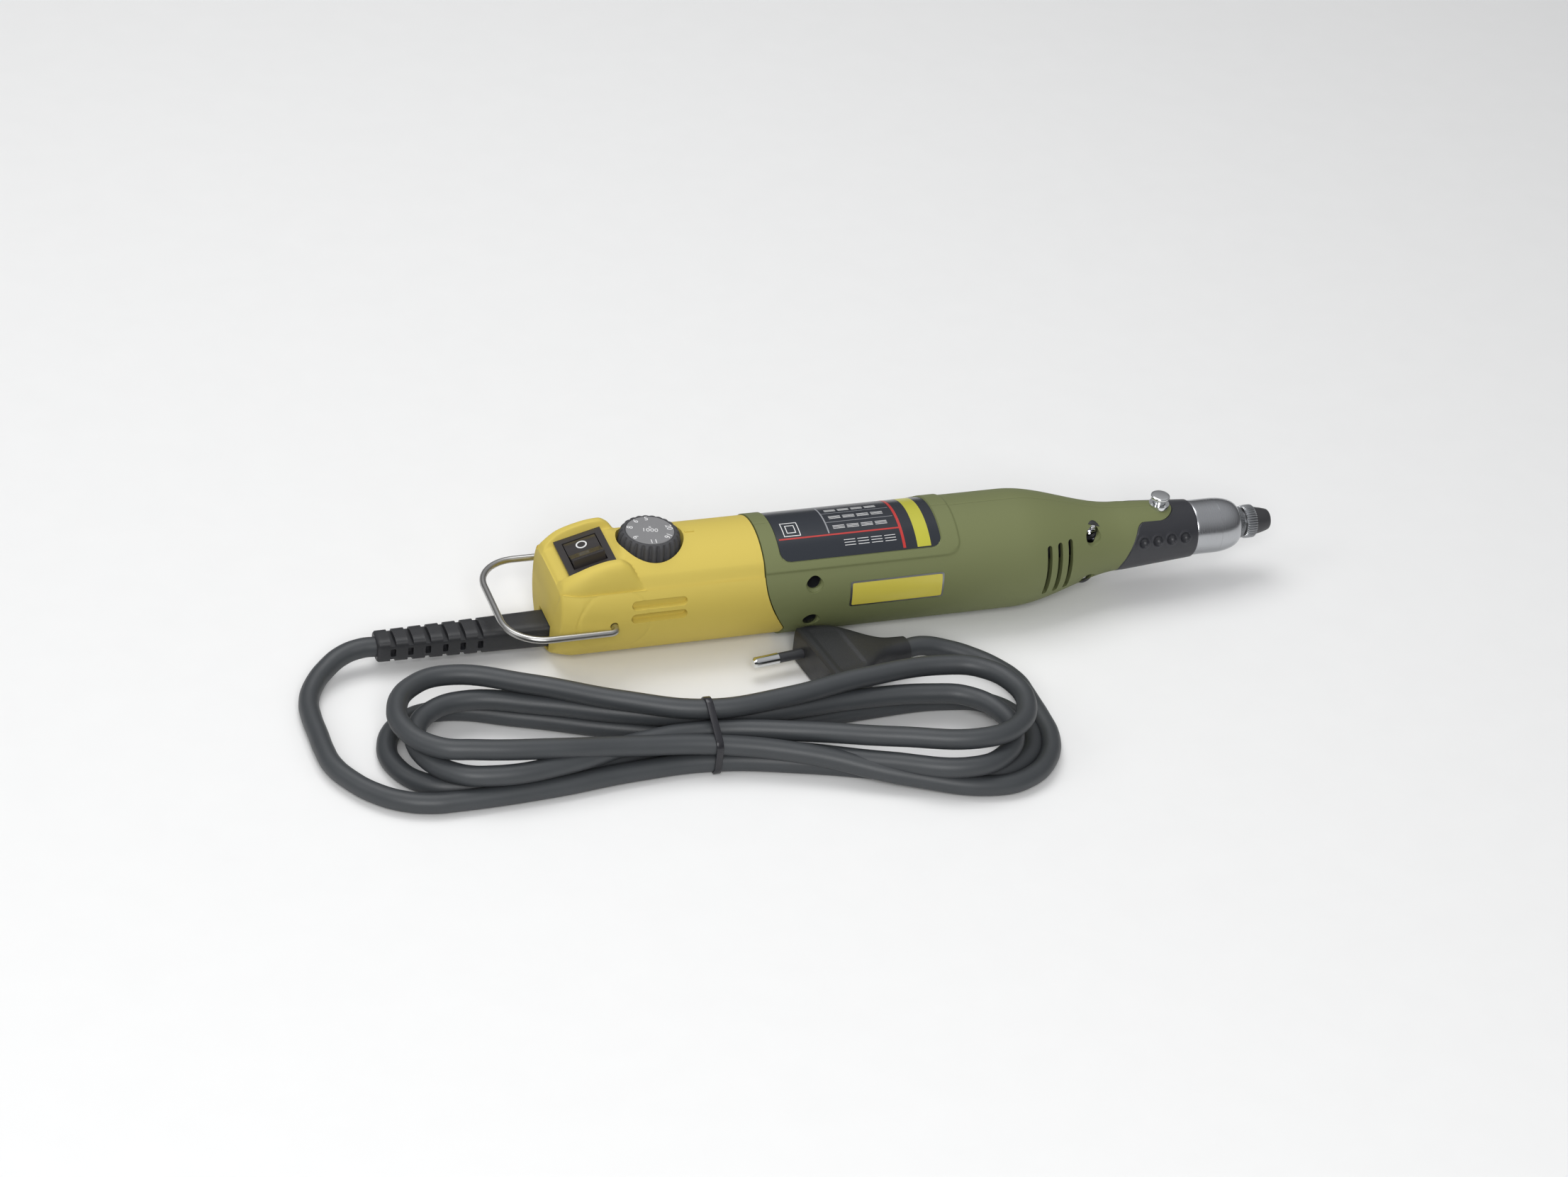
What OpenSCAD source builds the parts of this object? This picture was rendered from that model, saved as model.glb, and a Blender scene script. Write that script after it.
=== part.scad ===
// Rotary hobby tool with a speed dial, a rocker switch and a mains lead folded into a hank.
// X runs along the tool towards the nose, Z is up, and the tool lies on its belly at z = 0.
// Stations called u are measured along the axis from the rear face of the cap.

/* [Body] */
// Outer diameter of the cap and the motor housing
body_d = 42.6; // [36:0.1:52]
// Length of the yellow rear cap along the crown
cap_len = 73; // [73:0.5:90]
// Length of the parallel motor housing
barrel_len = 97; // [81:0.5:120]
// Length of the taper from the motor housing to the neck
taper_len = 45; // [40:0.5:56]
// Length of the rubber grip
grip_len = 27.5; // [27:0.5:36]
// Wall thickness of the plastic shells
wall = 2.2; // [1.8:0.1:2.6]
// How far the cap joint leans towards the nose on the lower half
joint_lean = 9; // [4:0.5:12]
// Diameter of the neck where the grip begins
neck_d = 24.8; // [24:0.1:28]

/* [Nose] */
// Diameter of the steel collar that fits a drill stand
collar_d = 20; // [19:0.1:24]
// Length of the parallel collar
collar_len = 10; // [8:0.1:12]
// Length of the rounded nose cone
cone_len = 9.4; // [7:0.1:14]
// Diameter of the collet nut
nut_d = 12.2; // [10.8:0.1:14]
// Length of the collet nut
nut_len = 10.4; // [8:0.1:12]
// Space between the nose ring and the nut
nut_gap = 0.8; // [0.5:0.1:5]
// Shank diameter that the collet holds
shank_d = 3.2; // [1:0.1:3.4]

/* [Drive] */
// Diameter of the spindle in its bearings
spindle_d = 8; // [7:0.1:8.4]
// Diameter of the motor shaft
shaft_d = 5; // [4:0.1:6]
// Gap for cooling air between the motor and the housing
air_duct = 2.6; // [1.5:0.1:4]
// Thickness of the field magnets
magnet_t = 2.4; // [1.6:0.1:3]
// Number of blades on the cooling fan
fan_blades = 9; // [5:1:13]

/* [Controls] */
// Station of the speed dial
dial_u = 35.5; // [35.5:0.1:38]
// Diameter of the speed dial at its skirt
dial_d = 22.2; // [18:0.1:22.5]
// Height of the dial above its recess
dial_h = 7.6; // [6:0.1:9]
// Length of the switch frame along the deck
switch_l = 17; // [15:0.1:17.4]
// Width of the switch frame across the tool
switch_w = 21; // [18:0.1:21.4]
// Slope of the switch deck in degrees
deck_slope = 16; // [12:0.5:18]
// Travel of the spindle lock button
lock_travel = 2.2; // [1.5:0.1:2.3]

/* [Hanger and lead] */
// Wire diameter of the hanging bail
bail_wire = 2.4; // [1.5:0.1:2.4]
// Reach of the bail behind its pivot
bail_reach = 37.5; // [36:0.1:50]
// Corner radius of the bail
bail_corner = 14; // [8:0.5:18]
// Length of the strain relief outside the cap
boot_len = 60; // [50:1:60]
// Diameter of the mains lead
cord_d = 7; // [7:0.1:7]

/* [Hidden] */

fine = 96;
fit = 0.03;          // radial clearance of pieces that are pressed or clamped together
run = 0.04;          // radial clearance of a shaft in its bearing
loose = 0.3;         // clearance of moving pieces that do not guide each other

body_r = body_d / 2;
bore_r = body_r - wall;
neck_r = neck_d / 2;
axis_h = body_r;

// Stations along the axis
cap_end = cap_len;
barrel_end = cap_end + barrel_len;
taper_end = barrel_end + taper_len;
grip_end = taper_end + grip_len;
collar_end = grip_end + collar_len;
cone_end = collar_end + cone_len;
ring_w = 1.9;
ring_end = cone_end + ring_w;
nut_u = ring_end + nut_gap;
tip_u = nut_u + nut_len;
shift_x = (boot_len - tip_u) / 2;

// Neck, grip and nose
grip_r = 10.4;
core_r = 9.2;
core_bore = 7.6;
spigot_r = core_bore - fit;
spigot_bore = 5.2;
tongue_w = 14;
tongue_end = taper_end + 19;
dimple_d = 3.6;
dimple_pitch = 5.6;
dimple_angle = 72;

// Spindle and its bearings
spindle_r = spindle_d / 2;
rear_brg_r = 9.5;
rear_brg_w = 6;
rear_brg_u = taper_end - 10;
front_brg_r = 8;
front_brg_w = 5;
front_brg_u = collar_end - front_brg_w;
thread_r = 4.6;
collet_u = nut_u - 7;
collet_tail_r = 2.4;
collet_head_r = 3.1;

// Outlet slots for the cooling air on both flanks of the taper
vent_u = barrel_end + 8.9;
vent_pitch = 4.5;
vent_z = -9;
vent_h = 20;

// Rating label on the crown and badges on the flanks
label_u = cap_end + 6.3;
label_len = 59.7;
label_half = 45.5;
label_t = 0.5;
badge_u = cap_end + 31;
badge_len = 35;
badge_h = 9.6;
badge_z = 2.45;
badge_depth = 1.4;

// Screws that join the two housing halves: station and height, mirrored below the axis
screw_d = 2.9;
head_d = 4.9;
screw_rear = [cap_end + 17.8, 7.8];
screw_front = [rear_brg_u - 5.6, 9.4];
boss_d = 7.4;
head_floor = 6;

// Motor
bell_u = cap_end + 24;
bell_len = 11;
can_end = barrel_end - 10;
can_r = bore_r - air_duct;
can_wall = 1.3;
magnet_r = can_r - can_wall - fit;
core_gap = 0.6;
armature_r = magnet_r - magnet_t - core_gap;
shaft_r = shaft_d / 2;
motor_brg_r = 6.5;
motor_brg_w = 4;
bell_floor = 1.6;
brush_u = bell_u + 7.6;
brush_len = 5.2;
commutator_r = 5.6;
core_u = bell_u + 21;
core_end = can_end - 12;
fan_u = barrel_end - 4;
fan_w = 9;
fan_r = bore_r - 2.6;
coupling_u = fan_u + fan_w + 5;
coupling_end = screw_front[0] - 5.3;
coupling_r = 5.6;

// Rear cap and its deck
cap_chamfer = 4;
deck_u = 12.9;
deck_z = 16.4;
fin_gap = 11;
fin_w = 4.4;
cap_bore_r = body_r - 2.4;
recess_r = dial_d / 2 + 0.6;
recess_z = 15.9;
deck_wall = 2.4;
board_z = 2;
board_t = 1.6;
board_u = 27;
board_end = cap_end - 5;
board_w = 30;
pot_h = 6.5;
pot_d = 16;
pot_shaft_r = 3;
pot_shaft_top = recess_z + 5.2;
switch_depth = 12;
rocker_l = 11.6;
rocker_w = 15;
rocker_tilt = 12;
rocker_pin_r = 0.9;

// Air slots in the cap's flanks
cap_slot_u = 26.1;
cap_slot_len = 16.8;
cap_slot_z = 6.9;
cap_slot_gap = 4.9;

// Hanging bail: pivot station and height from the axis
bail_u = 18.3;
bail_z = 0;
bail_y = body_r + 3.3;
bail_r = bail_wire / 2;
pivot_depth = 5.6;

// Strain relief
boot_z = 8.5 - axis_h;
boot_w = 12.5;
boot_h = 9.5;
boot_slots = 6;
slot_pitch = 6.1;

// Spindle lock, heights above the axis
lock_u = taper_end + 14.5;
guide_r = 3.7;
guide_top = 12.4;
barrel_r = 2.9;
guide_seat = skin_r(lock_u + guide_r) - 0.15;
lock_pin_r = 1.2;
lock_waist_r = 2.2;
lock_disc_z = guide_top + lock_travel + 0.1;
lock_top = lock_disc_z + 1.2;

// Lead: the centre line of the stretch from the strain relief to the hank, on the floor frame
LEAD = [
  [-167.5, 0, 8.5], [-173, 0, 8.5], [-179, -2.5, 7], [-185, -8, 5], [-190, -16, 3.8],
  [-192.5, -24, 3.5], [-192.5, -33, 3.5], [-190, -41, 3.5], [-185, -48, 3.5], [-178, -53, 3.5]
];
// and of the stretch from the plug back to the hank
TAIL = [
  [14.6, -33.5, 6.8], [20.5, -32.7, 6.8], [30, -34.5, 5.2], [39, -41, 3.9], [45, -50.5, 3.5],
  [47, -61, 3.5], [46.5, -69, 3.5]
];
hank_layers = 3;
hank_left = [-155.5, -53.5];
hank_waist = [-70, -70.5];
hank_right = [29.5, -85];
hank_r = 24.5;
waist_r = 12;
hank_h = hank_layers * cord_d;
tie_w = 2.6;
tie_t = 1.1;

// Flat two-pin plug
plug_face = [-21, -38.5];
plug_turn = 8;
plug_w = 34;
plug_t = 13.6;
plug_len = 35.9;
pin_d = 4;
pin_len = 19;
pin_metal = 9.5;
pin_pitch = 19;
sleeve_d = pin_d - 0.4;

// ---------------------------------------------------------------- shared functions and shapes

function ease(t) = t <= 0 ? 0 : t >= 1 ? 1 : t * t * (3 - 2 * t);

// Outer radius of the housing at a station: parallel, then an eased taper, then the neck
function skin_r(u) =
  u <= taper_end
    ? body_r - (body_r - neck_r) * ease((u - barrel_end) / taper_len)
    : neck_r - (neck_r - grip_r) * (u - taper_end) / grip_len;

function unit(v) = v / norm(v);

// Direction of a path at point i
function heading(p, i) = unit(p[min(i + 1, len(p) - 1)] - p[max(i - 1, 0)]);

// One ring of the tube: a regular polygon across the path at point i
function tube_ring(p, i, r, sides) =
  let (t = heading(p, i), s = unit(cross(t, [0, 0, 1])), n = cross(s, t))
    [for (k = [0 : sides - 1])
      let (a = 360 * k / sides) p[i] + r * (cos(a) * s + sin(a) * n)];

module swept_tube(p, r, sides) {
  rings = len(p);
  polyhedron(
    points = [for (i = [0 : rings - 1]) each tube_ring(p, i, r, sides)],
    faces = concat(
      [[for (k = [0 : sides - 1]) k]],
      [for (i = [0 : rings - 2]) for (k = [0 : sides - 1])
        let (m = (k + 1) % sides)
          [i * sides + k, (i + 1) * sides + k, (i + 1) * sides + m, i * sides + m]],
      [[for (k = [sides - 1 : -1 : 0]) (rings - 1) * sides + k]]
    )
  );
}

// Places a piece that is drawn along the tool's own axis
module on_axis() {
  translate([shift_x, 0, axis_h]) children();
}

// Solid of revolution about the tool's axis from points [radius, station]
module turned(points) {
  rotate([0, 90, 0]) rotate_extrude($fn = fine) polygon(points);
}

module disc(r, u0, u1) {
  translate([u0, 0, 0]) rotate([0, 90, 0]) cylinder(r = r, h = u1 - u0, $fn = fine);
}

module tube(r_out, r_in, u0, u1) {
  turned([[r_in, u0], [r_out, u0], [r_out, u1], [r_in, u1]]);
}

// Bar of round section along Y
module cross_bar(r, u, y0, y1, z) {
  translate([u, y0, z]) rotate([-90, 0, 0]) cylinder(r = r, h = y1 - y0, $fn = 48);
}

module post(r, u, z0, z1) {
  translate([u, 0, z0]) cylinder(r = r, h = z1 - z0, $fn = 64);
}

// A deep groove ball bearing: outer ring, inner ring and balls
module ball_bearing(r_out, r_in, w, u, balls) {
  land = (r_out - r_in) * 0.3;
  middle = (r_out + r_in) / 2;
  ball = r_out - r_in - 2 * land;
  tube(r_out, r_out - land, u, u + w);
  tube(r_in + land, r_in, u, u + w);
  for (k = [0 : balls - 1])
    rotate([360 * k / balls, 0, 0])
      translate([u + w / 2, 0, middle]) sphere(r = ball / 2 - fit, $fn = 32);
}

// ---------------------------------------------------------------- cap, housing and grip

// Everything on the cap's side of the leaning joint, grown by a gap
module cap_side(gap = 0) {
  lean_z = body_r * 0.53;
  rotate([90, 0, 0])
    linear_extrude(height = 4 * body_r, center = true)
      polygon([
        [-10, body_r + 5], [cap_end + gap, body_r + 5], [cap_end + gap, lean_z],
        [cap_end + joint_lean + gap, -lean_z], [cap_end + joint_lean + gap, -body_r - 5],
        [-10, -body_r - 5]
      ]);
}

module deck_frame() {
  translate([deck_u, 0, deck_z]) rotate([0, -deck_slope, 0]) children();
}

module cap_fin(side) {
  hull() {
    for (p = [[3, 10.5, 2.6], [17.5, 16.5, 4.8], [26, 11.5, 3]])
      translate([p[0], side * (fin_gap + fin_w / 2), p[1]])
        rotate([90, 0, 0]) cylinder(r = p[2], h = fin_w, center = true, $fn = 32);
  }
}

module cap_cavity() {
  difference() {
    disc(cap_bore_r, 3, cap_end + 30);
    translate([0, -30, recess_z - deck_wall]) cube([dial_u + recess_r + 3, 60, 30]);
    deck_frame() translate([-40, -30, -deck_wall]) cube([60, 60, 30]);
  }
}

module cap_slots(side) {
  for (k = [0 : 1])
    hull() {
      for (e = [0, 1])
        cross_bar(
          1.6, cap_slot_u + cap_slot_len * e, side > 0 ? bore_r - 4 : -body_r - 3,
          side > 0 ? body_r + 3 : 4 - bore_r, cap_slot_z - cap_slot_gap * k
        );
    }
}

module rear_cap() {
  color("#cdb84b") on_axis()
    difference() {
      union() {
        intersection() {
          difference() {
            turned([
              [0, 0], [body_r - cap_chamfer, 0], [body_r, cap_chamfer + 2], [body_r, cap_end + 30],
              [0, cap_end + 30]
            ]);
            deck_frame() translate([-30, -fin_gap, 0]) cube([38.6, 2 * fin_gap, 30]);
            cap_cavity();
          }
          cap_side();
        }
        for (s = [-1, 1])
          difference() {
            cap_fin(s);
            translate([3, -30, -30]) cube([40, 60, 30 + recess_z - deck_wall]);
          }
        for (s = [-1, 1])
          intersection() {
            disc(cap_bore_r + 0.5, board_u, board_end);
            translate([board_u, s > 0 ? board_w / 2 - 1.5 : -25, board_z - 2.4])
              cube([board_end - board_u, 26.5 - board_w / 2, 2.4]);
          }
      }
      post(recess_r, dial_u, recess_z, recess_z + 30);
      post(pot_shaft_r + 0.4, dial_u, recess_z - 10, recess_z + 1);
      deck_frame()
        translate([0, 0, -6])
          cube([switch_l - 1.2, switch_w - 1.2, 20], center = true);
      for (s = [-1, 1]) {
        cap_slots(s);
        cross_bar(
          bail_r + 0.08, bail_u, s > 0 ? bore_r - 4 : -bail_y - 1, s > 0 ? bail_y + 1 : 4 - bore_r, bail_z
        );
      }
      translate([-1, -boot_w / 2 - 0.1, boot_z - boot_h / 2 - 0.1])
        cube([5, boot_w + 0.2, boot_h + 0.2]);
    }
}

// The rubber grip's outline from the side, in front of a slanting edge
module grip_side(gap = 0) {
  difference() {
    rotate([90, 0, 0])
      linear_extrude(height = 4 * body_r, center = true)
        polygon([
          [taper_end + 4 - gap, body_r], [taper_end + 3.6 - gap, 9.5], [taper_end - 1.6 - gap, -2],
          [taper_end - 2.8 - gap, -6], [taper_end - 2.8 - gap, -body_r], [grip_end, -body_r],
          [grip_end, body_r]
        ]);
    linear_extrude(height = 2 * body_r) {
      translate([0, -tongue_w / 2 + gap]) square([tongue_end - tongue_w / 2, tongue_w - 2 * gap]);
      translate([tongue_end - tongue_w / 2, 0]) circle(d = tongue_w - 2 * gap, $fn = 64);
    }
  }
}

module housing_skin() {
  turned(concat(
    [[0, cap_end - 20], [body_r, cap_end - 20], [body_r, barrel_end]],
    [for (k = [1 : 9]) let (u = barrel_end + taper_len * k / 9) [skin_r(u), u]],
    [[grip_r, grip_end], [0, grip_end]]
  ));
}

module housing_cavity() {
  bulk_end = rear_brg_u - 1;
  turned(concat(
    [[0, cap_end - 30], [bore_r, cap_end - 30], [bore_r, barrel_end]],
    [for (k = [1 : 7])
      let (u = barrel_end + (bulk_end - barrel_end) * k / 7) [skin_r(u + 1) - wall, u]],
    [[rear_brg_r - 1.2, bulk_end], [rear_brg_r - 1.2, rear_brg_u], [rear_brg_r + fit, rear_brg_u],
      [rear_brg_r + fit, rear_brg_u + rear_brg_w], [core_bore, rear_brg_u + rear_brg_w],
      [core_bore, grip_end + 1], [0, grip_end + 1]]
  ));
}

// Half of the housing on one side of the tool; side is -1 for the near half
module housing_half(side) {
  screws = [screw_rear, screw_front];
  half = 3 * body_r;
  boss_in = side < 0 ? -half : 0;
  intersection() {
    translate([-10, boss_in, -half]) cube([tip_u + 50, half, 2 * half]);
    difference() {
      union() {
        difference() {
          housing_skin();
          cap_side(0);
          housing_cavity();
          difference() {
            grip_side();
            disc(core_r, 0, grip_end + 1);
          }
        }
        // lip that the cap slides over
        difference() {
          tube(bore_r + 0.5, bore_r - 1.6, cap_end - 5, cap_end + joint_lean + 4);
          intersection() {
            cap_side();
            tube(2 * body_r, cap_bore_r - 0.1, 0, cap_end + 30);
          }
        }
        // ribs that carry the motor can
        for (u = [bell_u + bell_len + 4, can_end - 10])
          tube(bore_r + 0.5, can_r + fit, u, u + 3);
        // screw bosses
        intersection() {
          housing_skin();
          for (s = screws, z = [-s[1], s[1]])
            cross_bar(boss_d / 2, s[0], -body_r, body_r, z);
        }
      }
      for (s = screws, z = [-s[1], s[1]]) {
        cross_bar(screw_d / 2 + fit, s[0], -head_floor - 1, head_floor + 3, z);
        if (side < 0) cross_bar(head_d / 2 + 0.2, s[0], -body_r - 1, -head_floor, z);
      }
      // outlet slots for the cooling air
      for (k = [0 : 2])
        translate([vent_u + vent_pitch * k, side > 0 ? 6 : -6 - body_r, vent_z])
          cube([2, body_r, vent_h]);
      // hole for the lock guide
      post(barrel_r + fit, lock_u, 0, body_r);
      post(guide_r + fit, lock_u, guide_seat, body_r);
      // recess of the rating label
      label_cut();
      badge_cut(side);
    }
  }
}

// Part of a tube wall over the crown: inner radius, thickness, half angle, station and length
module crown_patch(r, t, half, u, length) {
  rotate([0, 90, 0]) rotate([0, 0, 180 - half])
    translate([0, 0, u])
      rotate_extrude(angle = 2 * half, $fn = fine)
        translate([r, 0]) square([t, length]);
}

module label_cut() {
  crown_patch(body_r - label_t, 3, label_half + 1, label_u, label_len);
}

module badge_cut(side) {
  depth = body_r - badge_depth;
  translate([badge_u, side > 0 ? depth : -depth - 3, badge_z - badge_h / 2])
    cube([badge_len, 3, badge_h]);
}

module housing_near() {
  color("#6b7449") on_axis() housing_half(-1);
}

module housing_far() {
  color("#6b7449") on_axis() housing_half(1);
}

module grip_sleeve() {
  color("#3c3c44") on_axis()
    difference() {
      intersection() {
        difference() {
          housing_skin();
          disc(core_r + fit, 0, grip_end + 1);
        }
        grip_side(-0.1);
      }
      post(guide_r + fit, lock_u, 0, body_r);
      for (s = [-1, 1], k = [0 : 3])
        let (u = taper_end + 5 + dimple_pitch * k)
          rotate([-s * dimple_angle, 0, 0]) translate([u, 0, skin_r(u) + 0.9]) sphere(d = dimple_d, $fn = 32);
    }
}

module rating_label() {
  color("#202228") on_axis()
    crown_patch(body_r - label_t + 0.05, 0.3, label_half, label_u + 0.2, label_len - 0.4);
}

module side_badges() {
  color("#c9bd4a") on_axis()
    for (s = [-1, 1])
      translate([badge_u + 0.2, s > 0 ? body_r - badge_depth : 0.4 - body_r, badge_z - badge_h / 2 + 0.2])
        cube([badge_len - 0.4, badge_depth - 0.4, badge_h - 0.4]);
}

module housing_screws() {
  color("#b8b8bc") on_axis()
    for (s = [screw_rear, screw_front], z = [-s[1], s[1]])
      difference() {
        union() {
          cross_bar(head_d / 2, s[0], -head_floor - 2.2, -head_floor, z);
          cross_bar(screw_d / 2, s[0], -head_floor, head_floor + 2, z);
        }
        translate([s[0] - 0.45, -head_floor - 3, z - 1.6]) cube([0.9, 2, 3.2]);
        translate([s[0] - 1.6, -head_floor - 3, z - 0.45]) cube([3.2, 2, 0.9]);
      }
}

// ---------------------------------------------------------------- nose, spindle and collet

module nose_collar() {
  color("#c8cacd") on_axis()
    difference() {
      turned([
        [spigot_bore, taper_end + 7], [spigot_r, taper_end + 7], [spigot_r, grip_end],
        [collar_d / 2, grip_end], [collar_d / 2, collar_end], [front_brg_r + fit, collar_end],
        [front_brg_r + fit, front_brg_u], [spigot_bore, front_brg_u]
      ]);
      post(lock_pin_r + 0.15, lock_u, 0, body_r);
    }
}

module nose_cone() {
  tip_r = 5.7;
  drop = collar_d / 2 - tip_r;
  color("#c8cacd") on_axis()
    turned(concat(
      [[thread_r + loose, cone_end], [thread_r + loose, collar_end]],
      [for (k = [0 : 8])
        let (a = 90 * k / 8) [tip_r + drop * cos(a), collar_end + cone_len * sin(a)]]
    ));
}

module nose_ring() {
  color("#a9abb0") on_axis() tube(5.6, thread_r + loose, cone_end, ring_end);
}

module spindle() {
  tail_r = spindle_r - 1;
  color("#b9bbc0") on_axis()
    difference() {
      turned([
        [0, coupling_end - 7], [tail_r, coupling_end - 7], [tail_r, rear_brg_u - 1],
        [spindle_r, rear_brg_u - 1], [spindle_r, collar_end + 0.6], [thread_r, collar_end + 0.6],
        [thread_r, nut_u + 4.2], [0, nut_u + 4.2]
      ]);
      disc(collet_tail_r + fit, collet_u - 2, nut_u + 5);
      for (a = [0, 90])
        rotate([a, 0, 0])
          translate([lock_u, 0, -20]) cylinder(r = lock_pin_r + 0.25, h = 40, $fn = 48);
    }
}

module spindle_front_bearing() {
  color("#9fa3a8") on_axis()
    ball_bearing(front_brg_r, spindle_r + run, front_brg_w, front_brg_u, 9);
}

module spindle_rear_bearing() {
  color("#9fa3a8") on_axis()
    ball_bearing(rear_brg_r, spindle_r + run, rear_brg_w, rear_brg_u, 8);
}

module collet() {
  head_u = nut_u + 4.3;
  color("#8f9296") on_axis()
    difference() {
      turned([
        [shank_d / 2, collet_u], [collet_tail_r, collet_u], [collet_tail_r, head_u],
        [collet_head_r, head_u], [collet_head_r, head_u + 1.2], [2.5, head_u + 3],
        [shank_d / 2, head_u + 3]
      ]);
      for (a = [0, 90])
        rotate([a, 0, 0]) translate([collet_u + 4, -0.2, -10]) cube([30, 0.4, 20]);
    }
}

module collet_nut() {
  cone_u = nut_u + 4.2;
  color("#3a3b3e") on_axis()
    difference() {
      turned([
        [thread_r + run, nut_u], [nut_d / 2, nut_u], [nut_d / 2, cone_u], [thread_r + 0.5, cone_u],
        [3.7, tip_u], [2.6 + run, tip_u], [2.6 + run, nut_u + 7.4], [collet_head_r + 0.1, nut_u + 5.6],
        [collet_head_r + 0.1, nut_u + 4.4], [thread_r + run, nut_u + 4.4]
      ]);
      for (k = [0 : 23])
        rotate([360 * k / 24, 0, 0])
          translate([nut_u - 1, -0.22, nut_d / 2 - 0.35]) cube([5.2, 0.44, 1]);
    }
}

module shaft_coupling() {
  shaft_end = coupling_u + 7;
  color("#4a4a4e") on_axis()
    difference() {
      disc(coupling_r, coupling_u, coupling_end);
      disc(shaft_r + fit, coupling_u - 1, shaft_end);
      disc(spindle_r - 1 + fit, coupling_end - 7, coupling_end + 1);
    }
}

module lock_guide() {
  color("#d4d6d9") on_axis()
    difference() {
      union() {
        post(barrel_r, lock_u, core_bore + 0.2, guide_top - 0.9);
        post(guide_r, lock_u, guide_seat + 0.02, guide_top);
      }
      post(lock_waist_r + 0.1, lock_u, core_bore + 0.8, body_r);
      post(lock_pin_r + 0.1, lock_u, 0, body_r);
    }
}

module lock_button() {
  waist_z = 11.3;
  color("#d4d6d9") on_axis()
    translate([lock_u, 0, 0])
      rotate_extrude($fn = 64)
        polygon([
          [0, spindle_r + 0.5], [lock_pin_r, spindle_r + 0.5], [lock_pin_r, waist_z],
          [lock_waist_r, waist_z], [lock_waist_r, lock_disc_z], [3.5, lock_disc_z],
          [3.5, lock_top - 0.3], [3.2, lock_top], [0, lock_top]
        ]);
}

module lock_spring() {
  turns = 3;
  z0 = core_bore + 1;
  z1 = 11.1;
  steps = 12 * turns;
  color("#b0b2b5") on_axis()
    swept_tube(
      [for (i = [0 : steps])
        let (a = 30 * i)
          [lock_u + 1.72 * cos(a), 1.72 * sin(a), z0 + (z1 - z0) * i / steps]],
      0.18, 6
    );
}

// ---------------------------------------------------------------- motor

module motor_can() {
  seat_u = can_end - motor_brg_w;
  color("#9da1a6") on_axis()
    turned([
      [can_r, bell_u + bell_len], [can_r, can_end], [motor_brg_r + fit, can_end],
      [motor_brg_r + fit, seat_u], [motor_brg_r + 1.2, seat_u], [motor_brg_r + 1.2, can_end - 1.5],
      [can_r - can_wall, can_end - 1.5], [can_r - can_wall, bell_u + bell_len]
    ]);
}

module field_magnets() {
  color("#5b5d61") on_axis()
    for (a = [30, 210])
      rotate([a, 0, 0]) rotate([0, 90, 0])
        translate([0, 0, core_u - 3])
          rotate_extrude(angle = 120, $fn = fine)
            translate([magnet_r - magnet_t, 0]) square([magnet_t, core_end - core_u + 6]);
}

module motor_end_bell() {
  inner_r = can_r - 1.8;
  color("#2b2c30") on_axis()
    difference() {
      turned([
        [motor_brg_r + fit, bell_u], [can_r, bell_u], [can_r, bell_u + bell_len],
        [inner_r, bell_u + bell_len], [inner_r, bell_u + motor_brg_w],
        [motor_brg_r + fit, bell_u + motor_brg_w]
      ]);
      for (s = [-1, 1])
        translate([brush_u - 3.3, s > 0 ? 9 : -25, -3.8]) cube([6.6, 16, 7.6]);
    }
}

module motor_shaft() {
  color("#c0c2c6") on_axis() disc(shaft_r, bell_u - 0.4, coupling_u + 6.8);
}

module motor_front_bearing() {
  color("#9fa3a8") on_axis()
    ball_bearing(motor_brg_r, shaft_r + run, motor_brg_w, can_end - motor_brg_w, 7);
}

module motor_rear_bearing() {
  color("#9fa3a8") on_axis()
    ball_bearing(motor_brg_r, shaft_r + run, motor_brg_w, bell_u, 7);
}

module armature_core() {
  slots = 8;
  color("#7c7f84") on_axis()
    difference() {
      tube(armature_r, shaft_r + fit, core_u, core_end);
      for (k = [0 : slots - 1])
        rotate([360 * k / slots, 0, 0])
          translate([core_u - 1, -0.9, armature_r - 5]) cube([core_end - core_u + 2, 1.8, 10]);
    }
}

module armature_windings() {
  r = armature_r - 1.6;
  color("#b26a35") on_axis() {
    turned([[shaft_r + 1.5, core_u - 6], [r - 1.5, core_u - 6], [r, core_u - 4], [r, core_u],
      [shaft_r + 1.5, core_u]]);
    turned([[shaft_r + 1.5, core_end], [r, core_end], [r, core_end + 3.5], [r - 1.5, core_end + 5],
      [shaft_r + 1.5, core_end + 5]]);
  }
}

module commutator() {
  color("#b87333") on_axis()
    difference() {
      tube(commutator_r, shaft_r + fit, bell_u + 4.6, bell_u + 13);
      for (k = [0 : 7])
        rotate([45 * k + 22.5, 0, 0])
          translate([bell_u + 4, -0.2, commutator_r - 0.7]) cube([12, 0.4, 2]);
    }
}

module brush_holders() {
  color("#b59a4a") on_axis()
    for (s = [-1, 1])
      translate([0, s > 0 ? commutator_r + 1 : -can_r + 0.2, 0])
        difference() {
          translate([brush_u - 3.2, 0, -3.7]) cube([6.4, can_r - commutator_r - 1.2, 7.4]);
          translate([brush_u - 2.3, -1, -2.8]) cube([4.6, can_r, 5.6]);
        }
}

module carbon_brushes() {
  color("#2e2e30") on_axis()
    for (s = [-1, 1])
      translate([brush_u - 2.2, s > 0 ? commutator_r + 0.05 : -commutator_r - 0.05 - brush_len, -2.7])
        cube([4.4, brush_len, 5.4]);
}

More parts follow.
